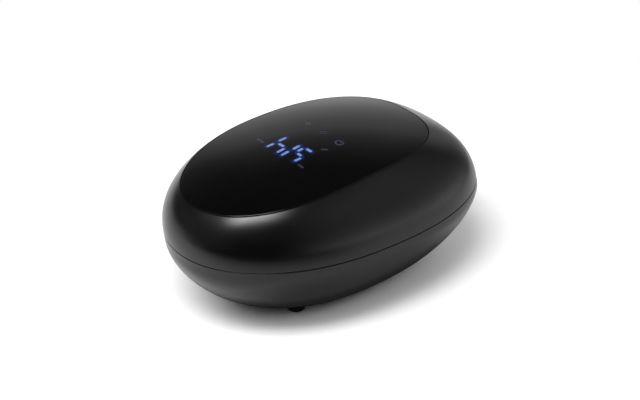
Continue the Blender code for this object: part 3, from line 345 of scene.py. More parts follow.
def combine(item, solid, operation):
    """Adds a solid to an object, cuts it away or keeps what they share, and applies that."""
    tool = solid if isinstance(solid, bpy.types.Object) else new_object("tool", solid)
    step = item.modifiers.new("combine", "BOOLEAN")
    step.operation = operation
    step.solver = "MANIFOLD"
    step.object = tool
    bpy.context.view_layer.update()
    graph = bpy.context.evaluated_depsgraph_get()
    mesh = bpy.data.meshes.new_from_object(item.evaluated_get(graph))
    if not mesh.polygons:
        raise RuntimeError(f"{item.name}: nothing left after {operation}")
    item.modifiers.clear()
    old = item.data
    item.data = mesh
    bpy.data.meshes.remove(old)
    bpy.data.objects.remove(tool)
    return item


def finish_piece(item, body, look, stands_for=(), sharp=35):
    """Smooth shading, material, body and CAD node of a piece."""
    item.data.materials.clear()
    item.data.materials.append(look.material)
    item.data.shade_smooth()
    item.data.set_sharp_from_angle(angle=radians(sharp))
    if stands_for:
        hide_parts(*stands_for)
    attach(item, body)
    return item


def piece(name, solid, body, look, added=(), cut=(), sharp=35):
    """Piece that stands for the CAD node of the same name: a solid, with parts added and then cut away."""
    item = new_object(name + "_form", solid)
    for part in added:
        combine(item, part, "UNION")
    for part in cut:
        combine(item, part, "DIFFERENCE")
    return finish_piece(item, body, look, (name,), sharp)


# Materials

class Nodes:
    """Short ways to add to a node tree."""

    def __init__(self, tree):
        self.tree = tree

    def link(self, source, target):
        self.tree.links.new(source, target)

    def node(self, kind, inputs=None, **settings):
        """New node with its settings, and its inputs linked or set to plain values."""
        made = self.tree.nodes.new("ShaderNode" + kind)
        for key, value in settings.items():
            setattr(made, key, value)
        for key, value in (inputs or {}).items():
            if isinstance(value, bpy.types.NodeSocket):
                self.link(value, made.inputs[key])
            else:
                made.inputs[key].default_value = value
        return made

    def math(self, operation, a, b=0):
        return self.node("Math", {0: a, 1: b}, operation=operation).outputs[0]

    def dot(self, way, axis):
        return self.node("VectorMath", {0: way, 1: axis}, operation="DOT_PRODUCT").outputs["Value"]

    def colours(self, value, stops):
        made = self.node("ValToRGB", {"Fac": value})
        ramp = made.color_ramp
        while len(ramp.elements) < len(stops):
            ramp.elements.new(0.5)
        for element, (at, colour) in zip(ramp.elements, stops):
            element.position = at
            element.color = (*colour, 1)
        return made.outputs["Color"]

    def levels(self, value, stops):
        return self.colours(value, [(at, (level, level, level)) for at, level in stops])

    def mixed(self, share, one, two):
        return self.node("MixShader", {0: share, 1: one, 2: two}).outputs[0]


class Look(Nodes):
    """Node material around one Principled shader, with patterns in the object's own coordinates."""

    def __init__(self, name, colour, roughness, metallic=0, ior=1.5):
        self.material = bpy.data.materials.new(name)
        self.material.use_nodes = True
        super().__init__(self.material.node_tree)
        self.shader = self.tree.nodes["Principled BSDF"]
        values = {"Base Color": (*colour, 1), "Roughness": roughness, "Metallic": metallic, "IOR": ior}
        for key, value in values.items():
            self.shader.inputs[key].default_value = value
        self.place = self.node("TexCoord").outputs["Object"]

    def stretched(self, scale):
        return self.node("Mapping", {"Vector": self.place, "Scale": scale}).outputs["Vector"]

    def noise(self, scale, detail=3.0, rough=0.5, at=None):
        inputs = {"Vector": at or self.place, "Scale": scale, "Detail": detail, "Roughness": rough}
        return self.node("TexNoise", inputs).outputs["Fac"]

    def cells(self, scale):
        return self.node("TexVoronoi", {"Vector": self.place, "Scale": scale}).outputs["Distance"]

    def range(self, value, low, high, to_low=0, to_high=1):
        inputs = {"Value": value, "From Min": low, "From Max": high, "To Min": to_low, "To Max": to_high}
        return self.node("MapRange", inputs).outputs["Result"]

    def paint(self, value, stops):
        self.link(self.colours(value, stops), self.shader.inputs["Base Color"])

    def tint(self, value, colour, *shares):
        self.paint(value, [(at, [c * share for c in colour]) for at, share in shares])

    def shine(self, value, smooth, rough, low=0.3, high=0.7):
        self.link(self.range(value, low, high, smooth, rough), self.shader.inputs["Roughness"])

    def bump(self, value, depth):
        """Adds relief of a depth in metres, on top of any that is there."""
        target = self.shader.inputs["Normal"]
        inputs = {"Height": value, "Distance": depth, "Strength": 1.0}
        if target.is_linked:
            inputs["Normal"] = target.links[0].from_socket
        self.link(self.node("Bump", inputs).outputs["Normal"], target)


def satin_black():
    """Moulded black plastic with a fine even grain and faint handling marks."""
    look = Look("satin_black", (0.0015, 0.0015, 0.0016), 0.26, ior=1.46)
    haze = look.noise(24, 4, 0.6)
    look.paint(haze, [(0.3, (0.0013, 0.0013, 0.0014)), (0.7, (0.0018, 0.0018, 0.0019))])
    look.shine(haze, 0.21, 0.25)
    look.bump(look.noise(2600, 2), 0.000012)
    return look


PANEL_TONE = (0.0014, 0.0014, 0.0015)


def gloss_black():
    """Smoked gloss panel, with a trace of wipe marks."""
    look = Look("gloss_black", PANEL_TONE, 0.05)
    wipe = look.noise(30, 5, 0.65, look.stretched((1.0, 2.6, 1.0)))
    look.tint(wipe, PANEL_TONE, (0.35, 0.9), (0.7, 1.1))
    look.shine(wipe, 0.035, 0.075, 0.35, 0.75)
    return look


def rubber():
    look = Look("rubber", (0.006, 0.006, 0.006), 0.8)
    grain = look.noise(1800, 4, 0.6)
    look.paint(grain, [(0.3, (0.004, 0.004, 0.004)), (0.75, (0.01, 0.01, 0.01))])
    look.shine(grain, 0.7, 0.88)
    look.bump(grain, 0.00006)
    return look


def silicone():
    look = Look("silicone", (0.12, 0.12, 0.13), 0.55)
    bloom = look.noise(60, 5, 0.6)
    look.paint(bloom, [(0.3, (0.1, 0.1, 0.108)), (0.75, (0.145, 0.145, 0.155))])
    look.shine(bloom, 0.48, 0.66)
    look.bump(look.noise(900, 2), 0.00002)
    return look


def tray_coat():
    """Sprayed non-stick coat with pale flecks and a pebbled surface."""
    look = Look("tray_coat", (0.022, 0.022, 0.023), 0.5)
    fleck = look.cells(420)
    look.paint(fleck, [(0.0, (0.2, 0.2, 0.2)), (0.1, (0.13, 0.13, 0.132)), (0.16, (0.024, 0.024, 0.025)),
                       (1.0, (0.018, 0.018, 0.019))])
    look.shine(look.noise(140, 4), 0.42, 0.6)
    look.bump(look.noise(700, 3), 0.00005)
    return look


def spun_aluminium():
    """Pressed aluminium with a fine brushed line along the length."""
    look = Look("spun_aluminium", (0.62, 0.63, 0.64), 0.4, 1.0)
    lines = look.noise(260, 6, 0.65, look.stretched((0.12, 6.0, 6.0)))
    look.paint(lines, [(0.25, (0.5, 0.505, 0.515)), (0.75, (0.7, 0.71, 0.72))])
    look.shine(lines, 0.32, 0.5, 0.25, 0.75)
    look.bump(lines, 0.00001)
    return look


def bright_steel(name="bright_steel", colour=(0.56, 0.56, 0.57)):
    look = Look(name, colour, 0.28, 1.0)
    marks = look.noise(700, 5, 0.65)
    look.tint(marks, colour, (0.25, 0.8), (0.75, 1.12))
    look.shine(marks, 0.2, 0.38, 0.25, 0.75)
    look.bump(marks, 0.000008)
    return look


def felt():
    """Pressed fibre pad with short strands in two directions."""
    look = Look("felt", (0.55, 0.53, 0.47), 0.95)
    one = look.noise(900, 4, 0.7, look.stretched((0.25, 2.2, 1.0)))
    two = look.noise(900, 4, 0.7, look.stretched((2.2, 0.3, 1.0)))
    look.paint(one, [(0.25, (0.4, 0.38, 0.33)), (0.8, (0.66, 0.64, 0.58))])
    look.shine(two, 0.88, 1.0)
    look.bump(one, 0.0002)
    look.bump(two, 0.0002)
    return look


def moulded(name, colour, roughness):
    """Plain moulded plastic with a light grain."""
    look = Look(name, colour, roughness)
    haze = look.noise(90, 4, 0.6)
    look.tint(haze, colour, (0.3, 0.85), (0.7, 1.15))
    look.shine(haze, roughness - 0.06, roughness + 0.06)
    look.bump(look.noise(1500, 2), 0.00002)
    return look


def circuit_board():
    """Green board with a pattern of paler copper runs."""
    look = Look("circuit_board", (0.012, 0.1, 0.04), 0.4)
    inputs = {"Vector": look.place, "Scale": 90, "Color1": (0.01, 0.085, 0.035, 1),
              "Color2": (0.014, 0.105, 0.044, 1), "Mortar": (0.03, 0.19, 0.085, 1), "Mortar Size": 0.07}
    runs = look.node("TexBrick", inputs, offset=0.35, squash=0.6)
    look.link(runs.outputs["Color"], look.shader.inputs["Base Color"])
    look.shine(look.noise(300, 3), 0.32, 0.48)
    look.bump(runs.outputs["Fac"], 0.00003)
    return look


def heater_film():
    """Amber film over an etched resistance track."""
    look = Look("heater_film", (0.3, 0.12, 0.03), 0.35)
    inputs = {"Vector": look.place, "Scale": 85, "Distortion": 0.6}
    track = look.node("TexWave", inputs, bands_direction="X").outputs["Fac"]
    look.paint(track, [(0.42, (0.22, 0.075, 0.018)), (0.52, (0.45, 0.24, 0.12))])
    look.shine(track, 0.3, 0.42)
    look.bump(track, 0.00004)
    return look


def lit_through(look, share, stops):
    """Gives a look of the panel the light that comes through it, in colours by the share."""
    look.link(look.colours(share, stops), look.shader.inputs["Emission Color"])
    look.shader.inputs["Emission Strength"].default_value = 1.0
    look.shine(look.noise(30, 5, 0.65), 0.035, 0.075, 0.35, 0.75)
    return look


def lit_mark(name, low, high):
    """Light seen through the gloss panel, a little uneven along each mark."""
    look = Look(name, PANEL_TONE, 0.05)
    return lit_through(look, look.noise(420, 3), [(0.3, low), (0.7, high)])


def display_glow():
    """Gloss panel with the light that spreads round the lit strokes."""
    look = Look("display_glow", PANEL_TONE, 0.05)
    share = look.node("Attribute", attribute_name="light").outputs["Fac"]
    stops = [(0.0, (0, 0, 0)), (0.5, (0.0006, 0.008, 0.06)), (1.0, (0.005, 0.036, 0.2))]
    return lit_through(look, share, stops)


SATIN = satin_black()
GLOSS = gloss_black()
RUBBER = rubber()
SILICONE = silicone()
TRAY_COAT = tray_coat()
ALUMINIUM = spun_aluminium()
STEEL = bright_steel()
GOLD = bright_steel("contact_gold", (0.72, 0.46, 0.16))
FELT = felt()
INNER = moulded("inner_black", (0.01, 0.01, 0.011), 0.5)
COMPONENT = moulded("component_black", (0.014, 0.014, 0.015), 0.45)
WHITE_PLASTIC = moulded("white_plastic", (0.58, 0.57, 0.54), 0.45)
RED_PLASTIC = moulded("red_plastic", (0.36, 0.018, 0.016), 0.45)
DISPLAY_GREY = moulded("display_grey", (0.04, 0.04, 0.044), 0.4)
LED_BLUE = moulded("led_blue", (0.12, 0.2, 0.62), 0.3)
BOARD = circuit_board()
FILM = heater_film()
BLUE_LIGHT = lit_mark("blue_light", (0.155, 0.245, 0.57), (0.225, 0.325, 0.69))
DIM_LIGHT = lit_mark("dim_light", (0.029, 0.026, 0.054), (0.04, 0.036, 0.072))
POWER_LIGHT = lit_mark("power_light", (0.04, 0.038, 0.076), (0.054, 0.05, 0.098))
GLOW = display_glow()


# Places, each a name with x and y in the body frame

FOOT_ALONG = 33
FOOT_ACROSS = 21.6
MAGNET_TURN = radians(20)


def rim_place(turn, inset):
    """Place (x, y) at the seam, inside the outline by the inset."""
    x, y, _ = hull(turn, SEAM_Z, inset)
    return float(x), float(y)


def rim_places(angle, inset):
    """Four places round the rim, at the angle from each end."""
    turns = {"front_left": pi - angle, "front_right": pi + angle, "rear_left": angle, "rear_right": -angle}
    return [(name, *rim_place(turn, inset)) for name, turn in turns.items()]


def board_corners(cx, along, across):
    return [("", cx + sx * along, sy * across) for sx in (-1, 1) for sy in (-1, 1)]


FEET = [(f"{end}_{side}", float(lean(UNDERSIDE_Z)) + along, across)
        for end, along in (("front", -FOOT_ALONG), ("rear", FOOT_ALONG))
        for side, across in (("left", FOOT_ACROSS), ("right", -FOOT_ACROSS))]
MAGNETS = [(side, *rim_place(pi + turn, CHANNEL_MIDDLE)) for side, turn in
           (("left", -MAGNET_TURN), ("right", MAGNET_TURN))]
CONTACT_X = rim_place(pi, CHANNEL_MIDDLE)[0]
CONTACT_STEM = [("", CONTACT_X, 0)]
TRAY_SCREWS = rim_places(radians(50), FLANGE_INSET + 2.3)
LINER_SCREWS = rim_places(radians(60), CHANNEL_MIDDLE)
SCREW_HOLE = 1.3
POWER_BOARD_PEGS = board_corners(-6, 28.5, 11.5)
CONTROL_BOARD_PEGS = board_corners(-13, 29.5, 26.5)
CONTROL_BOARD_Z = 77.13
PEG_RADIUS = 1
INLET_Z = 12.1
INLET_MOUTH = 5
INLET_FACE = float(hull(0, INLET_Z - INLET_MOUTH)[0]) - CLEAR
INLET_LENGTH = 14
SLEEVE_START = INLET_FACE - INLET_LENGTH + 2.3
SLEEVE_RADIUS = 6.1
SLEEVE_BORE = 4.3


def posts(places, radius, low, high, segments=32):
    upright = lathe([(radius, low), (radius, high)], segments=segments)
    return group([put(upright, x, y) for _, x, y in places])


def disc(radius, low, high, round_off=0, segments=48):
    """Upright cylinder with rounded ends."""
    profile = [(radius / 2, low), (radius, low), (radius, high), (radius / 2, high)]
    return lathe(profile, [0, round_off, round_off, 0], segments)


def barrel(radius, low, high, round_off=0):
    """Cylinder along the hinge's line."""
    return put(disc(radius, low, high, round_off), HINGE_X, 0, SEAM_Z, ALONG_Y)


def base_barrels(radius, spread, round_off=0):
    """The base's two knuckles, longer by the spread at each end."""
    inner = KNUCKLE_HALF + HINGE_GAP - spread
    outer = HINGE_HALF + spread
    return [barrel(radius, inner, outer, round_off), barrel(radius, -outer, -inner, round_off)]


def hinge_web(low_y, high_y, low_z, high_z):
    return block((HINGE_X - HINGE_WEB_DEPTH, low_y, low_z), (HINGE_X + CLEAR, high_y, high_z))


def oval(inset, z):
    """Outline of the seam, moved in by the inset and laid at a height."""
    return ring(SEAM_Z, inset, z)


def trimmed(solid, low, high, count):
    """Object from what is inside a solid and inside the casing's wall."""
    inside = skin([ring(z, WALL / 3) for z in np.linspace(low, high, count)])
    return combine(new_object("trimmed", solid), inside, "INTERSECT")


# Casing pieces

SHELL_ROWS = 31
INNER_ROWS = 14
CAP_SHARE = 0.8
RIM_ROUNDING = 0.35
HINGE_ROUNDING = 0.3
POST_FOOT = 4.3
BOSS_RADIUS = 6
STANDOFF_RADIUS = 2.2
STANDOFF_Z = 7.3
PEG_TOP = 10
LID_BOSS_RADIUS = 3
LID_BOSS_RISE = 9
WELL_PROFILE = [(3.5, 0), (3.5, 7), (1.6, 7), (1.6, BOSS_Z + CLEAR)]
FOOT_PROFILE = [(2.5, 0.35), (3.4, 0.35), (3.8, 0), (5.5, 0), (5.5, 2.7), (3.2, 2.7), (3.2, 4.4), (1.5, 4.4)]
FOOT_ROUNDING = [0, 0.15, 0.15, 0.7, 0.3, 0.2, 0.3, 0]


def base_section():
    """Rows of the base's wall, from the underside up to the rim and down inside to the floor."""
    thick = WALL + SHOULDER
    underside = ring(UNDERSIDE_Z)
    floor = ring(FLOOR_Z, thick)
    heights = UNDERSIDE_Z + (BASE_RIM - UNDERSIDE_Z) * np.linspace(0, 1, SHELL_ROWS)[1:-1] ** 1.25
    outer = [ring(z) for z in heights if z > UNDERSIDE_Z + 0.6]
    inner = [ring(z, thick) for z in np.linspace(SHOULDER_Z, FLOOR_Z, INNER_ROWS)[1:-1]]
    rows = [drawn_in(underside, CAP_SHARE, lambda x, y: UNDERSIDE_Z), underside, *outer]
    rows += [ring(BASE_RIM), ring(BASE_RIM, WALL), ring(SHOULDER_Z, WALL), ring(SHOULDER_Z, thick)]
    rows += [*inner, floor, drawn_in(floor, CAP_SHARE, lambda x, y: FLOOR_Z)]
    radii = [0, 1.2, *[0] * len(outer), RIM_ROUNDING, RIM_ROUNDING, 0, 0, *[0] * len(inner), 0, 0]
    return rounded(rows, radii)


def base_posts():
    """Bosses over the feet, standoffs of the power board and the inlet's sleeve."""
    bosses = posts(FEET, BOSS_RADIUS, POST_FOOT, BOSS_Z)
    standoffs = posts(POWER_BOARD_PEGS, STANDOFF_RADIUS, POST_FOOT, STANDOFF_Z)
    sleeve = put(lathe([(SLEEVE_RADIUS, SLEEVE_START), (SLEEVE_RADIUS, HINGE_X)]), 0, 0, INLET_Z, ALONG_X)
    return trimmed(group([bosses, standoffs, sleeve]), UNDERSIDE_Z, BASE_RIM, 24)


def base_webs():
    near = KNUCKLE_HALF + HINGE_GAP + WEB_STEP
    far = HINGE_HALF - WEB_STEP
    low = SEAM_Z - HINGE_WEB_RISE
    return group([hinge_web(near, far, low, BASE_RIM), hinge_web(-far, -near, low, BASE_RIM)])


def base_cuts():
    """Screw wells over the feet, the inlet's seat and mouth, the lid knuckle's room and the pin's bore."""
    well = lathe(WELL_PROFILE, segments=32)
    cuts = [put(well, x, y) for _, x, y in FEET]
    mouth = lathe([(SLEEVE_BORE, SLEEVE_START - CLEAR), (SLEEVE_BORE, INLET_FACE),
                   (INLET_MOUTH, INLET_FACE), (INLET_MOUTH, HINGE_X)])
    cuts.append(put(mouth, 0, 0, INLET_Z, ALONG_X))
    half = KNUCKLE_HALF + HINGE_GAP / 2
    cuts.append(barrel(HINGE_RADIUS + HINGE_GAP, -half, half))
    return group(cuts + base_barrels(HINGE_PIN_RADIUS + CLEAR, HINGE_GAP / 4))


def make_base_shell():
    pegs = posts(POWER_BOARD_PEGS, PEG_RADIUS, STANDOFF_Z - CLEAR, PEG_TOP)
    knuckles = group(base_barrels(HINGE_RADIUS, 0, HINGE_ROUNDING))
    piece("base_shell", skin(base_section()), "base", SATIN,
          [base_posts(), pegs, base_webs(), knuckles], [base_cuts()])


def lid_section():
    """Rows of the lid's wall, from its rim up over the crown's edge and the panel's seat and down inside."""
    underside = SEAT_DROP + SEAT_GAUGE
    seat = RIM_LAND + SEAT_WIDTH
    shares = np.linspace(0, 1, SHELL_ROWS) ** 0.95
    outer = [hull(ANGLES, LID_RIM + share * (EDGE_Z - LID_RIM)) for share in shares[1:-1]]
    inner = []
    for share in np.linspace(1, 0, INNER_ROWS)[:-1]:
        z = LID_RIM + share * (EDGE_Z - underside - WALL / 2 - LID_RIM)
        inner.append(hull(ANGLES, z) - hull_normal(ANGLES, z) * WALL)
    rows = [ring(LID_RIM), *outer, hull(ANGLES, EDGE_Z)]
    rows += [crown_ring(RIM_LAND, 0), crown_ring(RIM_LAND, SEAT_DROP)]
    rows += [crown_ring(seat, SEAT_DROP), crown_ring(seat, underside), *inner, ring(LID_RIM, WALL)]
    radii = [RIM_ROUNDING, *[0] * len(outer), 0.8, 0.2, 0, 0, 0, *[0] * len(inner), RIM_ROUNDING]
    return rounded(rows, radii, True)


def make_lid_shell():
    low = LINER_FLANGE_TOP + CLEAR
    bosses = posts(LINER_SCREWS, LID_BOSS_RADIUS, low, low + LID_BOSS_RISE)
    bosses = trimmed(bosses, LID_RIM, LID_RIM + 18, 14)
    half = KNUCKLE_HALF
    web = half - WEB_STEP
    webs = hinge_web(-web, web, LID_RIM, SEAM_Z + HINGE_WEB_RISE)
    knuckle = barrel(HINGE_RADIUS, -half, half, HINGE_ROUNDING)
    cuts = base_barrels(HINGE_RADIUS + HINGE_GAP, HINGE_GAP / 2)
    cuts.append(posts(LINER_SCREWS, SCREW_HOLE, low - CLEAR, low + 6.3))
    cuts.append(barrel(HINGE_PIN_RADIUS + CLEAR, -half - HINGE_GAP / 4, half + HINGE_GAP / 4))
    piece("lid_shell", skin(lid_section(), True), "lid", SATIN,
          [bosses, webs, knuckle], [group(cuts)])


def make_top_panel():
    def under(x, y):
        return dome(x, y) - PANEL_GAUGE

    edge = crown_ring(RIM_LAND + PANEL_GAP, 0)
    shares = np.linspace(0, 1, SHELL_ROWS)[1:-1] ** 0.9
    top = [drawn_in(edge, share, dome) for share in shares]
    low = [drawn_in(edge, share, under) for share in (0.9, 0.6, 0.3)]
    rows = [*top, edge, drawn_in(edge, 1, under), *low]
    radii = [*[0] * len(top), 0.5, 0.2, 0, 0, 0]
    solid = domed(rows, radii, middle_x(edge), dome, under)
    piece("top_panel", solid, "lid", GLOSS)


def make_feet():
    foot = lathe(FOOT_PROFILE, FOOT_ROUNDING)
    for name, x, y in FEET:
        piece(f"foot_{name}", put(foot, x, y), "base", RUBBER)


def make_hinge_pin():
    length = HINGE_HALF - CLEAR
    piece("hinge_pin", barrel(HINGE_PIN_RADIUS, -length, length, 0.25), "base", STEEL)


# Pieces that show when the lid is open

PAD_GAUGE = 4
PAD_SHARE = 0.78
PAD_Z = 20.9
SENSOR_PLACE = [("", 18, 0)]
SENSOR_ROOM = 4.6
FUSE_ROOM = (-24.2, -6.6), (-19.8, 6.6)
STAND_ROOM = 2.9
STAND_RADIUS = 2.6
SCREW_RADIUS = 1
SCREW_HEAD_RADIUS = 2
SCREW_HEAD_RISE = 1.6
SCREW_SHARP = 30
CATCH_RISE = 2
MAGNET_RADIUS = 2
MAGNET_ROUNDING = 0.25
CONTACT_OUTLINE = [(-2, -6), (2, -6), (2, 6), (-2, 6)]
PIN_PROFILE = [(0.3, -0.8), (0.75, -0.8), (0.75, 0.15), (0.3, 0.15)]
PIN_PLACES = [-3.6, 0, 3.6]


def make_rim_frame():
    opening = TRAY_INSET - 2 * CLEAR
    rows = [ring(FRAME_Z, FRAME_INSET), ring(FRAME_Z, FRAME_INSET, FRAME_TOP),
            oval(opening, FRAME_TOP), oval(opening, FRAME_Z)]
    solid = skin(rounded(rows, [0.3] * 4, True, 3), True)
    bosses = posts(TRAY_SCREWS, 2.6, FRAME_TOP - 5.3, FRAME_TOP - 1.3)
    holes = posts(TRAY_SCREWS, SCREW_HOLE, FRAME_TOP - 5.6, FRAME_TOP + CLEAR)
    stem = posts(CONTACT_STEM, SCREW_HOLE, FRAME_Z - CLEAR, FRAME_TOP + CLEAR)
    piece("rim_frame", solid, "base", INNER, [bosses], [group([holes, stem])])


def make_stone_tray():
    low = TRAY_INSET + TRAY_DRAFT
    middle = low + 12
    floor_top = TRAY_Z + TRAY_GAUGE
    rows = [oval(middle, TRAY_Z), oval(low, TRAY_Z), oval(TRAY_INSET, FLANGE_Z), oval(FLANGE_INSET, FLANGE_Z),
            oval(FLANGE_INSET, FLANGE_TOP), oval(TRAY_INSET + TRAY_GAUGE, FLANGE_TOP),
            oval(low + TRAY_GAUGE, floor_top), oval(middle, floor_top)]
    radii = [0, 4.5, 1, 0.3, 0.3, 2, 4, 0]
    holes = posts(TRAY_SCREWS, SCREW_HOLE, FLANGE_Z - CLEAR, FLANGE_TOP + CLEAR)
    solid = skin(rounded(rows, radii, steps=7))
    piece("stone_tray", solid, "base", TRAY_COAT, cut=[holes])


def make_tray_seal():
    low = FLANGE_TOP + CLEAR
    high = LINER_Z - CLEAR
    rows = [oval(SEAL_INSET, low), oval(SEAL_INSET, high), oval(TRAY_INSET, high), oval(TRAY_INSET, low)]
    solid = skin(rounded(rows, [0.3, 1.3, 1.3, 0.3], True), True)
    piece("tray_seal", solid, "base", SILICONE)


LINER_EDGE = ring(SEAM_Z, LINER_INSET)
LINER_MIDDLE = middle_x(LINER_EDGE)
LINER_RISE = CONTROL_BOARD_Z - 9.8 - LINER_FLANGE_TOP
LINER_SHARES = np.linspace(0, 1, 15)[1:-1]


def liner_dome(base):
    """Height function of a dome over the liner's edge that starts from the base height."""
    half_length = LINER_EDGE[:, 0].max() - LINER_MIDDLE
    half_width = LINER_EDGE[:, 1].max()

    def height(x, y):
        share = np.minimum(((x - LINER_MIDDLE) / half_length) ** 2 + (y / half_width) ** 2, 1) ** 0.5
        return base + LINER_RISE * (1 - share ** LINER_FULLNESS)
    return height


def make_lid_liner():
    under = liner_dome(LINER_Z)
    over = liner_dome(LINER_FLANGE_TOP)
    rows = [drawn_in(LINER_EDGE, share, under) for share in LINER_SHARES]
    rows += [oval(LINER_INSET, LINER_Z), ring(LINER_FLANGE_TOP, FRAME_INSET, LINER_Z)]
    rows += [ring(LINER_FLANGE_TOP, FRAME_INSET), oval(LINER_INSET, LINER_FLANGE_TOP)]
    rows += [drawn_in(LINER_EDGE, share, over) for share in LINER_SHARES[::-1]]
    none = [0] * len(LINER_SHARES)
    solid = domed(rows, [*none, 2.2, 0.4, 0.4, 2.2, *none], LINER_MIDDLE, under, over)
    top = CONTROL_BOARD_Z - CLEAR
    stands = []
    for _, x, y in CONTROL_BOARD_PEGS:
        foot = float(over(x, y)) - LINER_GAUGE / 2
        profile = [(STAND_RADIUS, foot), (STAND_RADIUS, top), (PEG_RADIUS, top), (PEG_RADIUS, top + 2.7)]
        stands.append(put(lathe(profile, segments=24), x, y))
    holes = posts(LINER_SCREWS + CONTACT_STEM, SCREW_HOLE, LINER_Z - CLEAR, LINER_FLANGE_TOP + CLEAR)
    piece("lid_liner", solid, "lid", ALUMINIUM, [group(stands)], [holes])


def make_lid_insulation():
    reach = [share for share in LINER_SHARES if share < PAD_SHARE] + [PAD_SHARE]
    low = liner_dome(LINER_FLANGE_TOP + CLEAR)
    high = liner_dome(LINER_FLANGE_TOP + CLEAR + PAD_GAUGE)
    rows = [drawn_in(LINER_EDGE, share, low) for share in reach]
    rows += [drawn_in(LINER_EDGE, share, high) for share in reach[::-1]]
    none = [0] * (len(reach) - 1)
    solid = domed(rows, [*none, 0.8, 1.4, *none], LINER_MIDDLE, low, high)
    rooms = posts(CONTROL_BOARD_PEGS, STAND_ROOM, LINER_Z, CONTROL_BOARD_Z, 24)
    piece("lid_insulation", solid, "lid", FELT, cut=[rooms])


def make_insulation_pad():
    edge = TRAY_INSET + TRAY_DRAFT + 6
    middle = edge + 8
    low = PAD_Z
    high = low + PAD_GAUGE
    rows = [oval(middle, low), oval(edge, low), oval(edge, high), oval(middle, high)]
    solid = skin(rounded(rows, [0, 0.9, 1.4, 0]))
    near, far = FUSE_ROOM
    fuse_room = block((*near, low - CLEAR), (*far, high + CLEAR))
    rooms = group([posts(SENSOR_PLACE, SENSOR_ROOM, low - CLEAR, high + CLEAR), fuse_room])
    piece("insulation_pad", solid, "base", FELT, cut=[rooms])


def cross_screw(shaft_low, head_low):
    """Pan head screw with a cross recess, its head from head_low up."""
    top = head_low + SCREW_HEAD_RISE
    profile = [(0.4, shaft_low), (SCREW_RADIUS, shaft_low + 0.6), (SCREW_RADIUS, head_low),
               (SCREW_HEAD_RADIUS, head_low), (SCREW_HEAD_RADIUS, top), (0.8, top)]
    item = new_object("screw", lathe(profile, [0, 0, 0, 0.15, 0.7, 0], 40))
    for x, y in [(1.2, 0.3), (0.3, 1.2)]:
        combine(item, block((-x, -y, top - 0.9), (x, y, top + CLEAR)), "DIFFERENCE")
    solid = ([(v.co.x / MM - SHIFT, v.co.y / MM, v.co.z / MM) for v in item.data.vertices],
             [tuple(face.vertices) for face in item.data.polygons])
    bpy.data.objects.remove(item)
    return solid


def make_small_screws():
    """Screws of the tray and the liner, each turned by its own amount."""
    down = cross_screw(FRAME_TOP - 5, FLANGE_TOP + CLEAR)
    for i, (name, x, y) in enumerate(TRAY_SCREWS):
        turn = Matrix.Rotation(0.4 + 1.1 * i, 4, "Z")
        piece(f"tray_screw_{name}", put(down, x, y, 0, turn), "base", STEEL, sharp=SCREW_SHARP)
    up = cross_screw(-(LINER_FLANGE_TOP + CLEAR + 6), -(LINER_Z - CLEAR))
    for i, (name, x, y) in enumerate(LINER_SCREWS):
        turn = UPSIDE_DOWN @ Matrix.Rotation(0.7 + 0.9 * i, 4, "Z")
        piece(f"liner_screw_{name}", put(up, x, y, 0, turn), "lid", STEEL, sharp=SCREW_SHARP)


def make_catches():
    """Magnets and contact blocks, the base's on the rim frame and the lid's under the liner."""
    seat = FRAME_TOP + CLEAR
    hang = LINER_Z - CLEAR
    spans = {"base": (seat, seat + CATCH_RISE), "lid": (hang - CATCH_RISE, hang)}
    for side, x, y in MAGNETS:
        for body, span in spans.items():
            magnet = disc(MAGNET_RADIUS, *span, MAGNET_ROUNDING, 40)
            piece(f"{body}_magnet_{side}", put(magnet, x, y), body, STEEL)
    make_contacts("base", *spans["base"], FRAME_Z, seat + 1, True)
    make_contacts("lid", *spans["lid"], hang - 1, LINER_FLANGE_TOP + CLEAR, False)


def make_contacts(body, low, high, stem_low, stem_high, upward):
    """Contact block with rounded edges, its stem, and three gilt pins toward the other block."""
    outline = np.array(rounded(np.array(CONTACT_OUTLINE), [0.7] * 4, True, 4))

    def level(z, share):
        return np.column_stack([outline * share, np.full(len(outline), z)]) + (CONTACT_X, 0, 0)

    rows = [level(low, 0.5), level(low, 1), level(high, 1), level(high, 0.5)]
    item = new_object(f"{body}_contact_form", skin(rounded(rows, [0, 0.25, 0.25, 0], steps=3)))
    combine(item, posts(CONTACT_STEM, 1, stem_low, stem_high), "UNION")
    finish_piece(item, body, COMPONENT, (f"{body}_contact_block",))
    pin = lathe(PIN_PROFILE, [0, 0, 0.12, 0], 24)
    face, turn = (high, Matrix()) if upward else (low, UPSIDE_DOWN)
    pins = [put(pin, CONTACT_X, y, face, turn) for y in PIN_PLACES]
    finish_piece(new_object(f"{body}_contact_pins", group(pins)), body, GOLD)


def make_dc_inlet():
    back = INLET_FACE - INLET_LENGTH
    shoulder = back + 2
    floor = INLET_FACE - 10
    profile = [(1, back), (5.4, back), (5.4, shoulder), (4, shoulder),
               (4, INLET_FACE), (3, INLET_FACE), (3, floor), (1, floor)]
    radii = [0, 0.3, 0.2, 0, 0.25, 0.25, 0.2, 0]
    solid = put(lathe(profile, radii), 0, 0, INLET_Z, ALONG_X)
    piece("dc_inlet", solid, "base", COMPONENT)
    root = floor - 1
    tip = INLET_FACE - 1
    pin = lathe([(0.5, root), (1, root), (1, tip), (0.3, tip)], [0, 0, 0.5, 0], 32)
    solid = put(pin, 0, 0, INLET_Z, ALONG_X)
    finish_piece(new_object("dc_inlet_pin", solid), "base", STEEL)


# Marks that shine through the panel, in plan millimetres

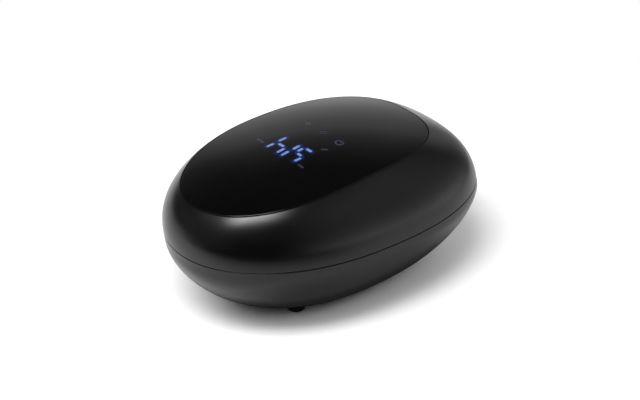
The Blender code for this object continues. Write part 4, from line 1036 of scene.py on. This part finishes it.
LIT_STROKES = [
    ((-31.6, 10.4), (-26.3, 9.9)), ((-23.1, 10.2), (-17.4, 10.2)), ((-24.7, 8.2), (-24.7, 2.8)),
    ((-31.3, 1.0), (-25.4, 1.3)), ((-31.4, -3.0), (-25.5, -2.7)), ((-22.9, -2.8), (-17.3, -2.3)),
    ((-22.2, -6.2), (-17.9, -5.9)), ((-16.8, -7.2), (-16.5, -12.1)), ((-23.3, -7.6), (-23.4, -11.5)),
    ((-29.5, -12.6), (-24.4, -12.7)),
]
STROKE_WIDTH = 1.8
STROKE_TRIM = 0.35
STROKE_STATIONS = (0, 0.07, 0.3, 0.5, 0.7, 0.93, 1)

# Strokes of the dimmer signs, each with its width
SIGN_STROKES = [
    ((-29.3, 22.2), (-29.9, 15.6), 1.5), ((-29.5, -16.3), (-29.4, -20.9), 1.4),
    ((-10.9, -13.1), (-7.9, -15.9), 1.4), ((0, 15), (4, 15), 1.0), ((2, 13), (2, 14.4), 1.0),
    ((2, 15.6), (2, 17), 1.0), ((-0.4, 1.6), (2.7, -1.8), 0.6), ((1.1, 2.9), (4.2, -0.5), 0.6),
]
POWER_MIDDLE = (2, -14)
POWER_RADIUS = 2.3
POWER_ARC = np.linspace(radians(35), radians(325), 25)
POWER_BAR = ((2.2, -14), (4.8, -14))
POWER_WIDTH = 0.9
GLOW_X = np.arange(-36, -12, 0.3)
GLOW_Y = np.arange(-17, 15, 0.3)
GLOW_SPREAD = 1.45
GLOW_LIFT = 0.012
MARK_LIFT = 0.03
MARK_DEPTH = 0.1


def band(path, width):
    """Thin closed strip along a path, drawn in at both ends and laid in the panel's skin."""
    path = np.array(path)
    run = np.gradient(path, axis=0)
    run /= np.linalg.norm(run, axis=1, keepdims=True)
    half = np.full((len(path), 1), width / 2)
    half[[0, -1]] *= 0.5
    side = np.stack([-run[:, 1], run[:, 0]], 1) * half
    rows = []
    for left, right in zip(path + side, path - side):
        high = [(p[0], p[1], dome(*p) + MARK_LIFT) for p in (left, right)]
        low = [(p[0], p[1], dome(*p) - MARK_DEPTH) for p in (right, left)]
        rows.append(np.array(high + low))
    return skin(rows)


def stroke(a, b, width, trim=0):
    """Straight mark from a to b, shortened at each end by the trim."""
    a, b = np.array([a, b], float)
    cut = trim / np.linalg.norm(b - a)
    return band([a + (b - a) * (cut + (1 - 2 * cut) * t) for t in STROKE_STATIONS], width)


def make_glow():
    """Fine grid over the display that carries how much light each point gets from the lit strokes."""
    gx, gy = np.meshgrid(GLOW_X, GLOW_Y, indexing="ij")
    light = np.zeros_like(gx)
    for a, b in LIT_STROKES:
        run = np.subtract(b, a)
        share = np.clip(((gx - a[0]) * run[0] + (gy - a[1]) * run[1]) / (run @ run), 0, 1)
        away = np.hypot(gx - a[0] - share * run[0], gy - a[1] - share * run[1])
        light = np.maximum(light, np.exp(-(away / GLOW_SPREAD) ** 2))
    grid = np.stack([gx, gy, dome(gx, gy) + GLOW_LIFT], -1)
    rows = [np.vstack([row, (row - (0, 0, MARK_DEPTH))[::-1]]) for row in grid]
    light = np.hstack([light, np.zeros_like(light)])
    item = new_object("display_glow", skin(rows))
    item.data.attributes.new("light", "FLOAT", "POINT").data.foreach_set("value", light.ravel())
    finish_piece(item, "lid", GLOW)


def make_marks():
    x, y = POWER_MIDDLE
    arc = [(x + POWER_RADIUS * cos(t), y + POWER_RADIUS * sin(t)) for t in POWER_ARC]
    marks = [
        ("lit_digits", BLUE_LIGHT, [stroke(a, b, STROKE_WIDTH, STROKE_TRIM) for a, b in LIT_STROKES]),
        ("panel_signs", DIM_LIGHT, [stroke(*sign) for sign in SIGN_STROKES]),
        ("power_sign", POWER_LIGHT, [band(arc, POWER_WIDTH), stroke(*POWER_BAR, POWER_WIDTH)]),
    ]
    for name, look, strips in marks:
        finish_piece(new_object(name, group(strips)), "lid", look)


# Inner nodes that keep their CAD shape

INNER_LOOKS = [
    (FILM, ["heating_element"]),
    (ALUMINIUM, ["clamp_plate", "filter_capacitor"]),
    (INNER, ["heater_carrier", "light_mask"]),
    (STEEL, ["temperature_sensor", *(f"base_screw_{name}" for name, _, _ in FEET)]),
    (WHITE_PLASTIC, ["thermal_fuse", "lead_connector", "heater_lead_right", "contact_lead", "lid_lead"]),
    (RED_PLASTIC, ["heater_lead_left"]),
    (BOARD, ["power_board", "control_board"]),
    (COMPONENT, ["power_module", "control_chip", "buzzer"]),
    (RUBBER, ["panel_gasket"]),
    (DISPLAY_GREY, ["led_display"]),
    (LED_BLUE, ["indicator_led"]),
    (SILICONE, ["touch_pad_plus", "touch_pad_mode", "touch_pad_power"]),
]


def dress_inner_nodes():
    for look, names in INNER_LOOKS:
        for name in names:
            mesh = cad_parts[name].data
            mesh.materials.clear()
            mesh.materials.append(look.material)


# Stage

VIEW_TURN = radians(38.33)
VIEW_RISE = radians(30.94)
# Level ways to the camera's right and away from it
RIGHT = Vector((cos(VIEW_TURN), -sin(VIEW_TURN), 0))
FAR = Vector((sin(VIEW_TURN), cos(VIEW_TURN), 0))
VIEW_DISTANCE = 1
VIEW_HEIGHT = 0.05
VIEW_PIXELS = 1708
FRAME_PIXELS = 640
VIEW_MIDDLE = (1.46, -1.34)
VIEW_SENSOR = 36

# Walls of the room that reflections see: the way to each in degrees from ahead toward the right, its shares
# by the turn from that way, 1 being opposite, and its levels by height, from 0 straight down to 1 straight up
BACK_WALL = (
    0,
    [(0.06, 1), (0.08, 0.86), (0.095, 0.66), (0.11, 0.45), (0.13, 0.4), (0.16, 0.45), (0.19, 0.3),
     (0.22, 0.12), (0.27, 0)],
    [(0, 0.8), (0.5, 0.82), (0.53, 0.9), (0.57, 0.8), (0.62, 0.55), (0.67, 0.42), (0.72, 0.36), (0.76, 0.2),
     (0.795, 0.115), (0.83, 0.05), (0.86, 0.015), (1, 0.01)],
)
RIGHT_WALL = (
    100,
    [(0.1, 1), (0.15, 0.85), (0.2, 0.62), (0.25, 0.42), (0.3, 0.16), (0.34, 0.03), (0.4, 0)],
    [(0, 0.1), (0.36, 0.55), (0.42, 1.12), (0.46, 1.12), (0.49, 0.85), (0.53, 0.63), (0.6, 0.46),
     (0.68, 0.36), (0.8, 0.36), (0.86, 0.4), (0.89, 0.26), (0.93, 0.15), (1, 0.03)],
)
LEFT_WALL = (
    -55,
    [(0.15, 1), (0.28, 0.4), (0.42, 0)],
    [(0.4, 1), (0.46, 0.9), (0.5, 0.36), (0.54, 0.05), (0.6, 0.07), (0.64, 0.16), (0.68, 0.1), (0.74, 0)],
)
FRONT_WALL = (
    -115,
    [(0.12, 1), (0.27, 0)],
    [(0.45, 0), (0.52, 0.15), (0.72, 0.15), (0.79, 0.25), (0.85, 0.6), (0.9, 0.7), (0.94, 0.3),
     (0.97, 0)],
)
CORNER_STRIP = (32, [(0.03, 1), (0.08, 0)], [(0.55, 0), (0.64, 0.3), (0.72, 0.3), (0.77, 0)])
DARK_ROOM = 0.018

# Fill light on matt surfaces, in the same terms
FILL = (-115, [(0.6, 1), (1, 0.4)], [(0.76, 0), (0.85, 3.1), (0.93, 0)])

# Softbox, placed by its angle from the camera's side and its rise, with light that fades toward its edges
LAMP_AZIMUTH = radians(-24)
LAMP_RISE = radians(61.5)
LAMP_ROLL = radians(28)
LAMP_DISTANCE = 1.4
LAMP_WIDE = 1.1
LAMP_TALL = 0.58
LAMP_POWER = 31
LAMP_EDGE = [(0.2, 1), (0.5, 0)]
LAMP_AIM = (0, 0, 0.04)

# Floor disc, and the tone and lift that make it white to the camera
FLOOR_RADII = (0.02, 0.12, 0.34)
FLOOR_SIDES = 96
FLOOR_DROP = 0.00005
FLOOR_SEEN = 1.08
FLOOR_LIFT = 0.01

# Floor as reflections see it, with painted shade: darker across to the right and out to the front, over the
# span on each side of the middle, and a painted contact shadow that is darker within the reach of the
# object's contact
FLOOR_SPAN = 0.3
FLOOR_PAINTED_SHADE_ACROSS = [(0.3, 0.88), (0.5, 0.8), (0.65, 0.65)]
FLOOR_PAINTED_SHADE_OUT = [(0.7, 1), (0.85, 0.38), (0.95, 0)]
FLOOR_REFLECTED = 1.09
PAINTED_CONTACT_SHADOW_REACH = (0.0965, 0.115)
PAINTED_CONTACT_SHADOW_LEVELS = [(0.43, 0.2), (0.565, 0.3), (0.626, 0.38), (0.7, 0.55), (0.83, 0.7), (1, 1)]

LEVEL_AXES = ((1, 0, 0), (0, 1, 0))


def make_camera():
    ahead = FAR * cos(VIEW_RISE) - Vector((0, 0, sin(VIEW_RISE)))
    data = bpy.data.cameras.new("camera")
    data.sensor_width = VIEW_SENSOR
    data.lens = VIEW_PIXELS * VIEW_SENSOR / FRAME_PIXELS
    data.shift_x = -VIEW_MIDDLE[0] / FRAME_PIXELS
    data.shift_y = VIEW_MIDDLE[1] / FRAME_PIXELS
    data.clip_start = 0.01
    camera = place_object("camera", data)
    turn = Matrix((RIGHT, RIGHT.cross(ahead), -ahead)).transposed().to_4x4()
    place = Vector((SHIFT * MM, 0, VIEW_HEIGHT)) - ahead * VIEW_DISTANCE
    camera.matrix_world = Matrix.Translation(place) @ turn
    scene.camera = camera


def softbox_light():
    """Lamp data of the softbox, brightest in its middle."""
    data = bpy.data.lights.new("softbox", "AREA")
    data.shape = "RECTANGLE"
    data.size = LAMP_WIDE
    data.size_y = LAMP_TALL
    data.energy = LAMP_POWER
    data.use_nodes = True
    glow = Nodes(data.node_tree)
    place = glow.node("NewGeometry").outputs["Parametric"]
    shares = []
    for axis in LEVEL_AXES:
        away = glow.math("ABSOLUTE", glow.math("SUBTRACT", glow.dot(place, axis), 0.5))
        shares.append(glow.levels(away, LAMP_EDGE))
    glow.link(glow.math("MULTIPLY", *shares), data.node_tree.nodes["Emission"].inputs["Strength"])
    return data


def make_softbox():
    level = RIGHT * sin(LAMP_AZIMUTH) - FAR * cos(LAMP_AZIMUTH)
    out = level * cos(LAMP_RISE) + Vector((0, 0, sin(LAMP_RISE)))
    lamp = place_object("softbox", softbox_light())
    lamp.location = Vector(LAMP_AIM) + out * LAMP_DISTANCE
    lamp.rotation_mode = "QUATERNION"
    lamp.rotation_quaternion = (-out).to_track_quat("-Z", "Y") @ Quaternion((0, 0, 1), LAMP_ROLL)
    lamp.visible_camera = False


def make_floor():
    """Round floor, just under the object."""
    points, faces = lathe([(radius, -FLOOR_DROP) for radius in FLOOR_RADII], segments=FLOOR_SIDES)
    mesh = bpy.data.meshes.new("floor")
    # The last face would cover the whole disc a second time
    mesh.from_pydata(points, [], faces[:-1])
    mesh.materials.append(floor_white().material)
    floor = place_object("floor", mesh)


def painted_floor_shade(look):
    """Painted light and shade of the floor in reflections: paler on the left than on the right, darker toward
    the front, and a painted contact shadow round the object.
    """
    # Painted contact shadow in reflections: the floor gets darker toward the object's contact
    long, cross = (look.math("DIVIDE", look.math("ABSOLUTE", look.dot(look.place, axis)), reach)
                   for axis, reach in zip(LEVEL_AXES, PAINTED_CONTACT_SHADOW_REACH))
    gap = look.math("SQRT", look.math("ADD", look.math("POWER", long, 4), look.math("POWER", cross, 2)))
    tone = look.math("MULTIPLY", look.levels(gap, PAINTED_CONTACT_SHADOW_LEVELS), FLOOR_REFLECTED)
    # Painted shade in reflections: the floor gets darker to the right and toward the front
    for axis, stops in ((RIGHT, FLOOR_PAINTED_SHADE_ACROSS), (-FAR, FLOOR_PAINTED_SHADE_OUT)):
        place = look.range(look.dot(look.place, axis), -FLOOR_SPAN, FLOOR_SPAN)
        tone = look.math("MULTIPLY", look.levels(place, stops), tone)
    return tone


def floor_white():
    """White for the camera with the shadow kept, and in reflections a tone with painted shade and a painted
    contact shadow.
    """
    look = Look("floor_white", (0.9, 0.9, 0.9), 1.0)
    # The floor's colour for reflections carries the painted shade and painted contact shadow
    mirrored = look.node("BsdfDiffuse", {"Color": painted_floor_shade(look)})
    pale = look.levels(look.noise(40, 3), [(0.3, 0.895), (0.7, 0.905)])
    plain = look.node("BsdfDiffuse", {"Color": pale})
    seen = look.node("BsdfDiffuse", {"Color": (FLOOR_SEEN, FLOOR_SEEN, FLOOR_SEEN, 1)})
    lift = look.node("Emission", {"Strength": FLOOR_LIFT})
    lifted = look.node("AddShader", {0: seen.outputs[0], 1: lift.outputs[0]})
    path = look.node("LightPath")
    surface = look.mixed(path.outputs["Is Glossy Ray"], plain.outputs[0], mirrored.outputs[0])
    surface = look.mixed(path.outputs["Is Camera Ray"], surface, lifted.outputs[0])
    look.link(surface, look.tree.nodes["Material Output"].inputs["Surface"])
    return look


def make_world():
    """White ground for the camera, a room of pale walls for reflections, and fill light for the rest."""
    world = bpy.data.worlds.new("world")
    scene.world = world
    world.use_nodes = True
    world.node_tree.nodes.clear()
    room = Nodes(world.node_tree)
    way = room.node("TexCoord").outputs["Generated"]
    height = room.math("MULTIPLY", room.math("ADD", room.dot(way, (0, 0, 1)), 1), 0.5)

    def wall(degrees, shares, levels):
        angle = radians(degrees)
        ahead = FAR * cos(angle) + RIGHT * sin(angle)
        beside = RIGHT * cos(angle) - FAR * sin(angle)
        turn = room.math("ABSOLUTE", room.math("ARCTAN2", room.dot(way, beside), room.dot(way, ahead)))
        share = room.levels(room.math("DIVIDE", turn, pi), shares)
        return room.math("MULTIPLY", share, room.levels(height, levels))

    def ground(strength):
        return room.node("Background", {"Color": (1, 1, 1, 1), "Strength": strength}).outputs[0]

    pale = DARK_ROOM
    for parts in (BACK_WALL, RIGHT_WALL, LEFT_WALL, FRONT_WALL, CORNER_STRIP):
        pale = room.math("ADD", wall(*parts), pale)
    path = room.node("LightPath")
    mirror = room.math("MAXIMUM", path.outputs["Is Glossy Ray"], path.outputs["Is Transmission Ray"])
    surface = room.mixed(mirror, ground(wall(*FILL)), ground(pale))
    surface = room.mixed(path.outputs["Is Camera Ray"], surface, ground(1.0))
    room.link(surface, room.node("OutputWorld").inputs["Surface"])


scene.view_settings.view_transform = "Standard"
make_camera()
make_world()
make_floor()
make_softbox()
make_base_shell()
make_lid_shell()
make_top_panel()
make_feet()
make_hinge_pin()
make_rim_frame()
make_stone_tray()
make_tray_seal()
make_lid_liner()
make_lid_insulation()
make_insulation_pad()
make_small_screws()
make_catches()
make_dc_inlet()
make_glow()
make_marks()
dress_inner_nodes()
